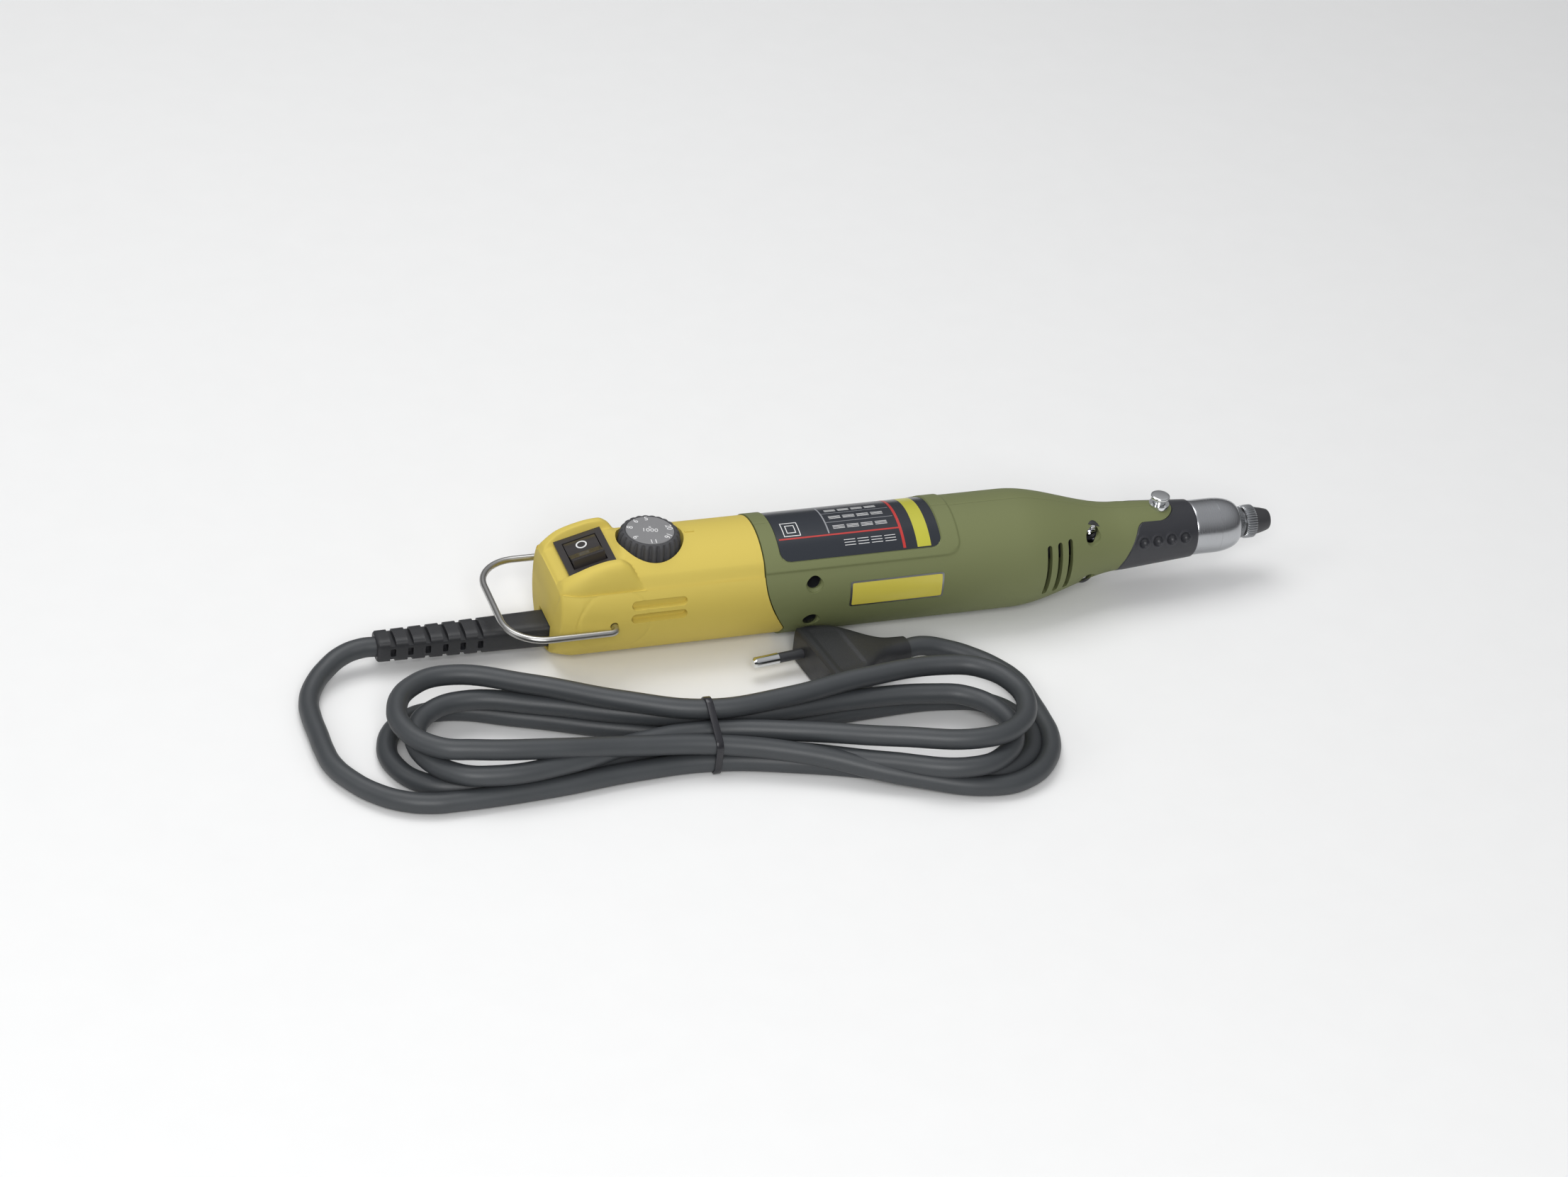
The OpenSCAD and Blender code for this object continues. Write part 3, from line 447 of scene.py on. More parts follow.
class Lay(Enum):
    """Which way a finish's fine marks run."""

    EVEN = (1.0, 1.0, 1.0)
    TURNED = (1.0, 0.01, 0.01)
    DRAWN = (0.02, 1.0, 1.0)


@dataclass(frozen=True)
class Finish:
    """A surface finish: colour, gloss and the fine grain that breaks both up."""

    name: str
    color: tuple[float, float, float]
    roughness: float = 0.45
    metallic: float = 0.0
    grain: float = 0.35
    depth: float = 0.02
    mottle: float = 0.08
    wear: float = 0.0
    coat: float = 0.0
    lay: Lay = Lay.EVEN

    def material(self) -> bpy.types.Material:
        """Builds the node material once: grain size and depth are in millimetres.

        Colour is the base mixed with a darker tone by broad noise, and with a paler one on worn convex
        edges. Roughness follows a second noise, and bump the fine grain.

        Returns:
            The material.
        """
        made = bpy.data.materials.get(self.name)
        if made:
            return made
        made = bpy.data.materials.new(self.name)
        made.use_nodes = True
        nodes, links = made.node_tree.nodes, made.node_tree.links
        shader = nodes["Principled BSDF"]
        shader.inputs["Metallic"].default_value = self.metallic
        shader.inputs["Coat Weight"].default_value = self.coat
        shader.inputs["Coat Roughness"].default_value = 0.15
        place = nodes.new("ShaderNodeTexCoord").outputs["Object"]
        turn = nodes.new("ShaderNodeMapping")
        turn.inputs["Scale"].default_value = self.lay.value
        links.new(place, turn.inputs["Vector"])

        broad = nodes.new("ShaderNodeTexNoise")
        broad.inputs["Scale"].default_value = 60.0
        broad.inputs["Detail"].default_value = 4.0
        links.new(place, broad.inputs["Vector"])
        tone = nodes.new("ShaderNodeMix")
        tone.data_type = "RGBA"
        tone.inputs["A"].default_value = (*self.color, 1.0)
        tone.inputs["B"].default_value = (*(c * (1.0 - 3.0 * self.mottle) for c in self.color), 1.0)
        links.new(broad.outputs["Fac"], tone.inputs["Factor"])
        color = tone.outputs["Result"]
        if self.wear:
            edge = nodes.new("ShaderNodeNewGeometry")
            band = nodes.new("ShaderNodeMapRange")
            band.inputs["From Min"].default_value = 0.53
            band.inputs["From Max"].default_value = 0.66
            band.inputs["To Max"].default_value = self.wear
            links.new(edge.outputs["Pointiness"], band.inputs["Value"])
            worn = nodes.new("ShaderNodeMix")
            worn.data_type = "RGBA"
            worn.inputs["B"].default_value = (*(min(1.0, c * 1.6 + 0.03) for c in self.color), 1.0)
            links.new(band.outputs["Result"], worn.inputs["Factor"])
            links.new(color, worn.inputs["A"])
            color = worn.outputs["Result"]
        links.new(color, shader.inputs["Base Color"])

        fine = nodes.new("ShaderNodeTexNoise")
        fine.inputs["Scale"].default_value = 1.0 / (self.grain * MM)
        fine.inputs["Detail"].default_value = 3.0
        links.new(turn.outputs["Vector"], fine.inputs["Vector"])
        gloss = nodes.new("ShaderNodeMapRange")
        gloss.inputs["To Min"].default_value = max(0.02, self.roughness - 0.07)
        gloss.inputs["To Max"].default_value = min(1.0, self.roughness + 0.07)
        links.new(fine.outputs["Fac"], gloss.inputs["Value"])
        links.new(gloss.outputs["Result"], shader.inputs["Roughness"])
        bump = nodes.new("ShaderNodeBump")
        bump.inputs["Distance"].default_value = self.depth * MM
        bump.inputs["Strength"].default_value = 1.0
        links.new(fine.outputs["Fac"], bump.inputs["Height"])
        links.new(bump.outputs["Normal"], shader.inputs["Normal"])
        return made

    def dress(self, *pieces: bpy.types.Object) -> None:
        """Gives pieces this finish as their only material."""
        for piece in pieces:
            piece.data.materials.clear()
            piece.data.materials.append(self.material())


YELLOW = Finish("cap_yellow", (0.50, 0.34, 0.018), 0.38, grain=0.28, depth=0.012, mottle=0.03, wear=0.25)
GREEN = Finish("housing_green", (0.100, 0.120, 0.030), 0.4, grain=0.28, depth=0.014, mottle=0.05, wear=0.2)
GRIP = Finish("grip_rubber", (0.030, 0.031, 0.037), 0.4, grain=0.2, depth=0.02, mottle=0.06, wear=0.15)
STEEL = Finish(
    "turned_steel", (0.50, 0.51, 0.53), 0.25, 1.0,
    grain=0.12, depth=0.006, mottle=0.03, lay=Lay.TURNED,
)
WIRE = Finish(
    "drawn_wire", (0.50, 0.495, 0.48), 0.3, 1.0,
    grain=0.15, depth=0.006, mottle=0.06, lay=Lay.DRAWN,
)
CHROME = Finish("bright_chrome", (0.80, 0.80, 0.80), 0.1, 1.0, grain=0.5, depth=0.002, mottle=0.02)
RING_STEEL = Finish("ring_steel", (0.40, 0.41, 0.425), 0.32, 1.0, grain=0.15, depth=0.005, mottle=0.05)
BLACK_STEEL = Finish(
    "black_steel", (0.035, 0.036, 0.038), 0.36, 0.55,
    grain=0.15, depth=0.006, mottle=0.08, wear=0.5,
)
SCREW = Finish("zinc_screw", (0.05, 0.05, 0.052), 0.5, 0.5, grain=0.2, depth=0.006, mottle=0.1)
LABEL = Finish("label_film", (0.016, 0.018, 0.026), 0.24, grain=0.5, depth=0.004, mottle=0.05, coat=0.4)
LABEL_RED = Finish("label_red", (0.52, 0.035, 0.03), 0.35, grain=0.5, depth=0.003, mottle=0.05)
LABEL_GREY = Finish("label_grey", (0.30, 0.31, 0.33), 0.4, grain=0.5, depth=0.003, mottle=0.05)
LABEL_LIME = Finish("label_lime", (0.52, 0.50, 0.05), 0.32, grain=0.5, depth=0.003, mottle=0.05)
BADGE = Finish("badge_yellow", (0.62, 0.56, 0.07), 0.3, grain=0.5, depth=0.004, mottle=0.05, coat=0.3)
DIAL = Finish("dial_black", (0.055, 0.056, 0.062), 0.48, grain=0.25, depth=0.014, mottle=0.06, wear=0.5)
DIAL_FACE = Finish("dial_face", (0.23, 0.23, 0.235), 0.5, grain=0.25, depth=0.008, mottle=0.05)
PRINT = Finish("white_print", (0.78, 0.78, 0.78), 0.5, grain=0.4, depth=0.002, mottle=0.04)
SWITCH = Finish("switch_black", (0.030, 0.029, 0.030), 0.4, grain=0.3, depth=0.008, mottle=0.06, wear=0.4)
CORD = Finish("cord_sheath", (0.050, 0.055, 0.060), 0.48, grain=0.4, depth=0.02, mottle=0.09)
MOULDED = Finish("moulded_black", (0.020, 0.021, 0.024), 0.46, grain=0.4, depth=0.05, mottle=0.08, wear=0.35)
TIE = Finish("tie_black", (0.010, 0.010, 0.012), 0.35, grain=0.3, depth=0.01, mottle=0.08)
CARBON = Finish("carbon", (0.02, 0.02, 0.022), 0.6, grain=0.2, depth=0.02, mottle=0.1)
COPPER = Finish(
    "enamelled_copper", (0.50, 0.19, 0.07), 0.35, 0.9,
    grain=0.3, depth=0.06, mottle=0.1, lay=Lay.TURNED,
)
BRASS = Finish("stamped_brass", (0.55, 0.40, 0.14), 0.32, 1.0, grain=0.25, depth=0.006, mottle=0.06)
FERRITE = Finish("ferrite", (0.10, 0.105, 0.11), 0.6, grain=0.3, depth=0.03, mottle=0.1)
FAN = Finish("fan_cream", (0.62, 0.59, 0.50), 0.45, grain=0.3, depth=0.01, mottle=0.04)
BOARD = Finish("circuit_board", (0.04, 0.12, 0.045), 0.35, grain=0.6, depth=0.02, mottle=0.12)
BLUE = Finish("pot_blue", (0.05, 0.11, 0.25), 0.4, grain=0.3, depth=0.01, mottle=0.05)
OCHRE = Finish("capacitor_ochre", (0.55, 0.34, 0.03), 0.35, grain=0.4, depth=0.01, mottle=0.05)
RED_WIRE = Finish("red_insulation", (0.35, 0.04, 0.03), 0.4, grain=0.4, depth=0.01, mottle=0.06)
BLUE_WIRE = Finish("blue_insulation", (0.08, 0.14, 0.34), 0.4, grain=0.4, depth=0.01, mottle=0.06)
FLOOR = Finish("studio_floor", (0.86, 0.86, 0.855), 0.85, grain=2.0, depth=0.0, mottle=0.01)

NODE_FINISHES: dict[str, Finish] = {
    "housing_screws": SCREW, "spindle": STEEL, "spindle_front_bearing": RING_STEEL,
    "spindle_rear_bearing": RING_STEEL, "collet": RING_STEEL, "shaft_coupling": GRIP,
    "lock_guide": CHROME, "lock_spring": RING_STEEL, "motor_can": STEEL, "field_magnets": FERRITE,
    "motor_end_bell": MOULDED, "motor_shaft": STEEL, "motor_front_bearing": RING_STEEL,
    "motor_rear_bearing": RING_STEEL, "armature_core": RING_STEEL, "armature_windings": COPPER,
    "commutator": COPPER, "brush_holders": BRASS, "carbon_brushes": CARBON, "brush_springs": RING_STEEL,
    "brush_caps": MOULDED, "cooling_fan": FAN, "circuit_board": BOARD, "speed_potentiometer": BLUE,
    "pot_shaft": STEEL, "suppression_capacitor": OCHRE, "choke_coils": COPPER, "triac_heat_sink": STEEL,
    "switch_frame": SWITCH, "switch_terminals": BRASS, "mains_wires": BLUE_WIRE, "motor_wires": RED_WIRE,
    "cord_clamp": MOULDED, "clamp_screws": SCREW, "plug_sleeves": MOULDED, "plug_pins": CHROME,
}


def finish_piece(
    piece: bpy.types.Object, finish: Finish, body: str, slot: str, *nodes: str
) -> bpy.types.Object:
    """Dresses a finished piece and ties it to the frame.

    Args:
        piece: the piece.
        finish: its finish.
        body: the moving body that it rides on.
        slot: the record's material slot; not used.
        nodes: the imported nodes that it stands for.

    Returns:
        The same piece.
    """
    if piece.type == "MESH":
        finish.dress(piece)
    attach(piece, body)
    if nodes:
        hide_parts(*nodes)
    LOG.info("%s: %s, rides on %s", piece.name, finish.name, body)
    return piece


# ------------------------------------------------------------------------------------------- studio


@dataclass(frozen=True)
class Studio:
    """Camera, floor and soft lights. Places are in metres in the model's frame."""

    lens: float = 89.3
    eye: tuple[float, float, float] = (-0.458, -1.046, 0.7842)
    right: tuple[float, float, float] = (0.942, -0.321, 0.100)
    up: tuple[float, float, float] = (0.104, 0.561, 0.821)

    def build(self) -> None:
        """Makes the camera first, then the floor, the world and the lights."""
        self._camera()
        floor = loft("studio_floor", np.array([
            [[-6, -6, z], [6, -6, z], [6, 6, z], [-6, 6, z]] for z in (-0.02, -0.0002)
        ], float))
        FLOOR.dress(floor)
        floor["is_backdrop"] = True
        world = bpy.data.worlds.new("studio")
        bpy.context.scene.world = world
        world.use_nodes = True
        back = world.node_tree.nodes["Background"]
        sky = world.node_tree.nodes.new("ShaderNodeTexCoord").outputs["Generated"]
        split = world.node_tree.nodes.new("ShaderNodeSeparateXYZ")
        ramp = world.node_tree.nodes.new("ShaderNodeValToRGB")
        ramp.color_ramp.elements[0].color = (0.10, 0.10, 0.105, 1.0)
        ramp.color_ramp.elements[1].color = (0.95, 0.96, 0.98, 1.0)
        ramp.color_ramp.elements[1].position = 0.8
        world.node_tree.links.new(sky, split.inputs["Vector"])
        world.node_tree.links.new(split.outputs["Z"], ramp.inputs["Fac"])
        world.node_tree.links.new(ramp.outputs["Color"], back.inputs["Color"])
        back.inputs["Strength"].default_value = 0.5
        self._light("overhead", (-0.15, 0.35, 1.15), (0.0, -0.02, 0.0), 0.8, 6.0)
        self._light("front", (-0.45, -1.2, 0.95), (-0.02, 0.0, 0.02), 0.6, 12.5)
        self._light("left", (-1.3, -0.1, 0.9), (-0.05, 0.0, 0.0), 0.6, 2.5)
        bpy.context.scene.view_settings.view_transform = "Standard"

    def _camera(self) -> None:
        """Builds the camera from its eye point and its right and up directions."""
        right = np.array(self.right) / np.linalg.norm(self.right)
        up = np.array(self.up) - right * float(np.dot(self.up, right))
        up /= np.linalg.norm(up)
        back = np.cross(right, up)
        data = bpy.data.cameras.new("camera")
        data.lens, data.sensor_width = self.lens, 36.0
        camera = bpy.data.objects.new("camera", data)
        bpy.context.scene.collection.objects.link(camera)
        turn = Matrix(np.stack([right, up, back], axis=-1).tolist()).to_4x4()
        camera.matrix_world = Matrix.Translation(self.eye) @ turn
        bpy.context.scene.camera = camera

    @staticmethod
    def _light(name: str, at: tuple, to: tuple, size: float, power: float) -> None:
        """Adds a square soft light.

        Args:
            name: its name.
            at: where it stands.
            to: where it points.
            size: side length in metres.
            power: watts.
        """
        data = bpy.data.lights.new(name, "AREA")
        data.size, data.energy = size, power
        light = bpy.data.objects.new(name, data)
        back = np.subtract(at, to) / np.linalg.norm(np.subtract(at, to))
        side = np.cross((0.0, 0.0, 1.0), back)
        side /= np.linalg.norm(side)
        turn = Matrix(np.stack([side, np.cross(back, side), back], axis=-1).tolist()).to_4x4()
        light.matrix_world = Matrix.Translation(at) @ turn
        bpy.context.scene.collection.objects.link(light)


# ----------------------------------------------------------------------------- lead, hank and plug


@dataclass(frozen=True)
class Place:
    """Where a run passes one of the hank's three stations: sideways offset and height."""

    side: float
    z: float


@dataclass(frozen=True)
class MainsLead:
    """The lead: out of the strain relief, round to the hank, three loops and a half, and the plug.

    Its points are in millimetres in the model's frame, on the surface at z = 0.
    """

    diameter: float = 7.0
    fold: float = 21.0
    left: tuple[float, float] = (-155.0, -53.5)
    waist: tuple[float, float] = (-70.0, -70.5)
    right: tuple[float, float] = (21.0, -82.0)
    left_fan: tuple[tuple[float, float], ...] = ((0.0, -1.0), (8.0, -6.0), (3.0, 0.0))
    right_fan: tuple[tuple[float, float], ...] = ((0.0, 0.0), (-9.0, -4.0), (-3.0, 2.0))
    exit_route: tuple[tuple[float, float, float], ...] = (
        (-167.5, 0, 8.5), (-172, 0, 8.5), (-179, -1.5, 7.5), (-186, -6, 5.6), (-191.5, -12.5, 4.3),
        (-195, -20.5, 3.6), (-196, -29, 3.5), (-196, -38, 3.5), (-196, -47, 3.5), (-195, -56, 3.5),
        (-191, -65, 3.5), (-185, -73, 3.5), (-177, -79, 3.5), (-168, -82, 3.5), (-160, -82.5, 3.5),
    )
    plug_route: tuple[tuple[float, float, float], ...] = (
        (14.6, -33.5, 6.8), (20.5, -32.7, 6.8), (30, -34.5, 5.2), (38.5, -39.5, 4), (45, -47, 3.5),
        (48.5, -55, 3.5), (49, -63, 3.5), (49, -67, 3.5),
    )

    def _run(self, start: Place, middle: Place, end: Place, fans: tuple[tuple, tuple]) -> np.ndarray:
        """Points of one run from the left lobe to the right one.

        Its offset from the hank's centre line eases from one station's value to the next, and so does
        its height.

        Args:
            start: its place at the left lobe.
            middle: its place in the tied waist.
            end: its place at the right lobe.
            fans: how far its own left and right folds are moved.

        Returns:
            Seven points.
        """
        s = np.array([0.0, 0.33, 0.67, 1.0])[:, None]
        left = np.array([*np.add(self.left, fans[0]), 0.0])
        right = np.array([*np.add(self.right, fans[1]), 0.0])
        waist = np.array([*self.waist, 0.0])
        e = ease(s)

        def stretch(a: np.ndarray, b: np.ndarray, p: Place, q: Place) -> np.ndarray:
            """Points between two stations."""
            off = np.array([0.0, p.side, p.z]) + e * np.array([0.0, q.side - p.side, q.z - p.z])
            return a + s * (b - a) + off

        return np.concatenate([stretch(left, waist, start, middle), stretch(waist, right, middle, end)[1:]])

    def _turn(self, centre: tuple, fan: tuple, z: float, first: float) -> np.ndarray:
        """Inner points of a half-circle fold, centre + fold * (cos a, sin a), turning to the left.

        Args:
            centre: the middle of the fold without its fan.
            fan: how far the fold is moved so that the turns spread.
            z: height of the turn.
            first: angle at which the fold starts, in degrees.

        Returns:
            Four points inside the fold.
        """
        a = np.radians(first + np.array([36.0, 72.0, 108.0, 144.0]))
        x, y = np.add(centre, fan)
        return np.stack([x + self.fold * np.cos(a), y + self.fold * np.sin(a), np.full(4, z)], axis=-1)

    def route(self) -> np.ndarray:
        """The whole centre line, from the strain relief to the plug.

        Returns:
            Its points in metres.
        """
        f, low, mid, top = self.fold, 3.5, 10.5, 17.5
        lf, rf = self.left_fan, self.right_fan
        lead = np.array(self.exit_route, float)
        first = self._run(Place(-f, low), Place(-8, low), Place(-f, low), ((0, -7), rf[0]))[1:]
        parts = [lead, first]
        waist_down = [Place(0, low), Place(0, mid)]
        waist_back = [Place(8, low), Place(8, mid), Place(4, 16.6)]
        levels = [low, mid, top]
        for k in range(3):
            parts.append(self._turn(self.right, rf[k], levels[k], -90))
            back = self._run(Place(f, levels[k]), waist_back[k], Place(f, levels[k]), (lf[k], rf[k]))
            parts.append(back[::-1])
            parts.append(self._turn(self.left, lf[k], levels[k], 90))
            if k < 2:
                parts.append(
                    self._run(
                        Place(-f, levels[k]), waist_down[k], Place(-f, levels[k + 1]), (lf[k], rf[k + 1])
                    )
                )
        parts.append(self._run(Place(-f, top), Place(-8, mid), Place(-28, low), (lf[2], (0, 0))))
        bend = np.array([[33.0, -107.4, low], [42.5, -99.5, low], [48, -88, low], [49, -77, low]])
        parts += [bend, np.array(self.plug_route, float)[::-1]]
        return np.concatenate(parts) * MM

    def build(self, plug: bpy.types.Object) -> None:
        """Args:
            plug: the plug's body, which goes with the cord; not used.
        """
        route = self.route()
        data = bpy.data.curves.new("mains_cord", "CURVE")
        data.dimensions, data.bevel_depth = "3D", self.diameter / 2 * MM
        data.bevel_resolution, data.resolution_u, data.use_fill_caps = 6, 10, True
        spline = data.splines.new("BEZIER")
        spline.bezier_points.add(len(route) - 1)
        spline.bezier_points.foreach_set("co", route.ravel())
        for point in spline.bezier_points:
            point.handle_left_type = point.handle_right_type = "AUTO"
        data.materials.append(CORD.material())
        cord = bpy.data.objects.new("mains_cord", data)
        bpy.context.scene.collection.objects.link(cord)
        finish_piece(cord, CORD, "housing", "cord_grey", "cord_lead", "cord_hank", "cord_tail")
        tie = self._tie()

    def _tie(self) -> bpy.types.Object:
        """A wire tie drawn tight round the waist.

        Its path is the outline of the bundle: for each direction, the run that reaches furthest, plus a
        cord's radius in that direction.

        Returns:
            The tie.
        """
        runs = np.array([(-8, 3.5), (8, 3.5), (8, 10.5), (4, 16.6), (-8, 10.5)])
        a = np.linspace(0, 2 * math.pi, 120, endpoint=False)
        out = np.stack([np.cos(a), np.sin(a)], axis=-1)
        path = runs[np.argmax(out @ runs.T, axis=1)] + out * (self.diameter / 2 + 0.35)
        path[:, 1] = np.maximum(path[:, 1], 0.45)
        section = block(1.25, 0.42, 0.3, 16)
        rings = np.stack([
            np.broadcast_to(self.waist[0] + section[:, 0], (len(a), 16)),
            self.waist[1] + path[:, :1] + out[:, :1] * section[:, 1],
            path[:, 1:] + out[:, 1:] * section[:, 1],
        ], axis=-1)
        tie = loft("cord_tie_band", rings * MM, Ends.LOOP, 50.0)
        return finish_piece(tie, TIE, "housing", "tie_black", "cord_tie")


@dataclass(frozen=True)
class Plug:
    """Flat two-pin plug. Sizes are along, across and through its own body, in millimetres."""

    face: tuple[float, float] = (-21.0, -38.5)
    turn: float = 8.0
    width: float = 34.0
    thickness: float = 13.6
    length: float = 35.9

    def build(self) -> bpy.types.Object:
        """Lofts the body from its wide pin face to its slim neck.

        Each section is a superellipse |y / w|^n + |z / t|^n = 1 whose half width, half thickness and
        squareness follow smooth curves along the body.

        Returns:
            The body.
        """
        x = np.concatenate([[0.0, 0.25, 0.9], np.linspace(2.0, self.length, 46)])
        half = self.width / 2
        widths = [half - 0.9, half, half, half - 1.4, 11.4, 7.0, 5.0, 4.5]
        w = through([0, 0.9, 4, 11, 17, 23, 29, 36], widths, x)
        t = through([0, 0.9, 14, 22, 30, 36], [5.9, 6.75, 6.75, 6.0, 4.7, 4.3], x)
        n = through([0, 16, 26, 36], [9.0, 7.0, 3.2, 2.2], x)
        a = np.linspace(0, 2 * math.pi, 112, endpoint=False)[None, :]
        c, s = np.cos(a), np.sin(a)
        reach = (np.abs(c) ** n[:, None] + np.abs(s) ** n[:, None]) ** (-1.0 / n[:, None])
        y, z = w[:, None] * reach * c, t[:, None] * reach * s
        grip = (np.abs(c * reach) < 0.72) & (x[:, None] > 3.5) & (x[:, None] < 13.5)
        z = z - np.sign(s) * 0.3 * grip
        turn = math.radians(self.turn)
        px, py = self.face
        rings = np.stack([
            px + x[:, None] * math.cos(turn) - y * math.sin(turn),
            py + x[:, None] * math.sin(turn) + y * math.cos(turn),
            self.thickness / 2 + z,
        ], axis=-1)
        body = loft("plug_shell", rings * MM, Ends.CAPS, 40.0)
        return finish_piece(body, MOULDED, "housing", "plug_black", "plug_body")


@dataclass(frozen=True)
class StrainRelief:
    """Slotted boot that the lead leaves the cap through."""

    length: float = 60.0
    z: float = -12.8
    slots: int = 6
    pitch: float = 6.1
    slot: float = 1.9

    def build(self, shop: Toolmaker) -> None:
        """Lofts the tapered boot and cuts its slots, three round a solid core from above and below.

        Args:
            shop: makes the solids.
        """
        u = np.concatenate([[-self.length, -self.length + 0.15, -self.length + 0.6], np.linspace(-58, 3, 40)])
        w = through([-60, -59.4, -50, -20, 3], [4.2, 4.75, 4.9, 5.7, 6.25], u)
        h = through([-60, -59.4, -20, 3], [3.9, 4.35, 4.6, 4.75], u)
        a = np.linspace(0, 2 * math.pi, 72, endpoint=False)[None, :]
        n = 4.5
        reach = (np.abs(np.cos(a)) ** n + np.abs(np.sin(a)) ** n) ** (-1.0 / n)
        rings = np.stack(np.broadcast_arrays(
            u[:, None], w[:, None] * reach * np.cos(a), self.z + h[:, None] * reach * np.sin(a)
        ), axis=-1)
        boot = shop.loft("strain_relief", rings, Ends.CAPS, 40.0)
        cutters = []
        for k in range(self.slots):
            at = -self.length + 5.4 + self.pitch * k
            for side in (-1, 1):
                outline = stadium(7.0, self.slot / 2)[:, ::-1]
                depth = (self.z + side * 2.6, self.z + side * 9.0)
                cutters.append(shop.prism([(min(depth), outline), (max(depth), outline)], False, (at, 0.0)))
                rib = block(self.slot / 2, 1.5, 0.4)
                walls = (side * 2.9, side * 9.0)
                cutters.append(shop.prism([(min(walls), rib), (max(walls), rib)], True, (at, self.z)))
        carve(boot, cutters, 40.0)
        finish_piece(boot, MOULDED, "housing", "plug_black", "cord_boot")


# ------------------------------------------------------------------------------------------- shells


@dataclass(frozen=True)
class Skin:
    """The outline that cap, housing and grip share."""

    body: float = 21.3
    cap_end: float = 73.0
    lean: float = 9.0
    ledge: float = 11.3
    barrel_end: float = 170.0
    taper_end: float = 215.0
    neck: float = 12.4
    grip_end: float = 242.5
    grip: float = 10.4
    joint_gap: float = 0.2

    def radius(self, u: np.ndarray) -> np.ndarray:
        """Parallel to the end of the barrel, an eased taper to the neck, then a straight one.

        Args:
            u: stations.

        Returns:
            The skin's radius at each.
        """
        fall = ease((u - self.barrel_end) / (self.taper_end - self.barrel_end))
        taper = self.body - (self.body - self.neck) * fall
        along = (u - self.taper_end) / (self.grip_end - self.taper_end)
        return np.where(u <= self.taper_end, taper, self.neck - (self.neck - self.grip) * along)

    def joint(self, z: np.ndarray) -> np.ndarray:
        """Station of the cap joint at a height: straight over the crown, leaning forward below."""
        return self.cap_end + self.lean * ease(np.clip((self.ledge - z) / (2 * self.ledge), 0, 1) * 0.5) * 2

    def grip_edge(self, a: np.ndarray) -> np.ndarray:
        """Station where the rubber grip starts at angle a from the crown.

        On the flanks it is a slanting line in u and z; over the crown it is the end of the round-ended
        tongue, centre + sqrt(half^2 - y^2).

        Args:
            a: angle from the crown in radians.

        Returns:
            The station.
        """
        half, y, z = 7.0, 12.0 * np.sin(a), 12.0 * np.cos(a)
        flank = through([-12, -6, -2, 6, 9.5], [212.2, 212.2, 213.4, 216.9, 218.6], z)
        tongue = 227.0 + np.sqrt(np.maximum(half**2 - y**2, 0.0))
        round_in = 2.2 - np.sqrt(np.maximum(2.2**2 - np.clip(half + 2.2 - np.abs(y), 0, 2.2) ** 2, 0.0))
        return np.where((np.abs(y) < half) & (z > 0), tongue, flank + round_in * (z > 0))


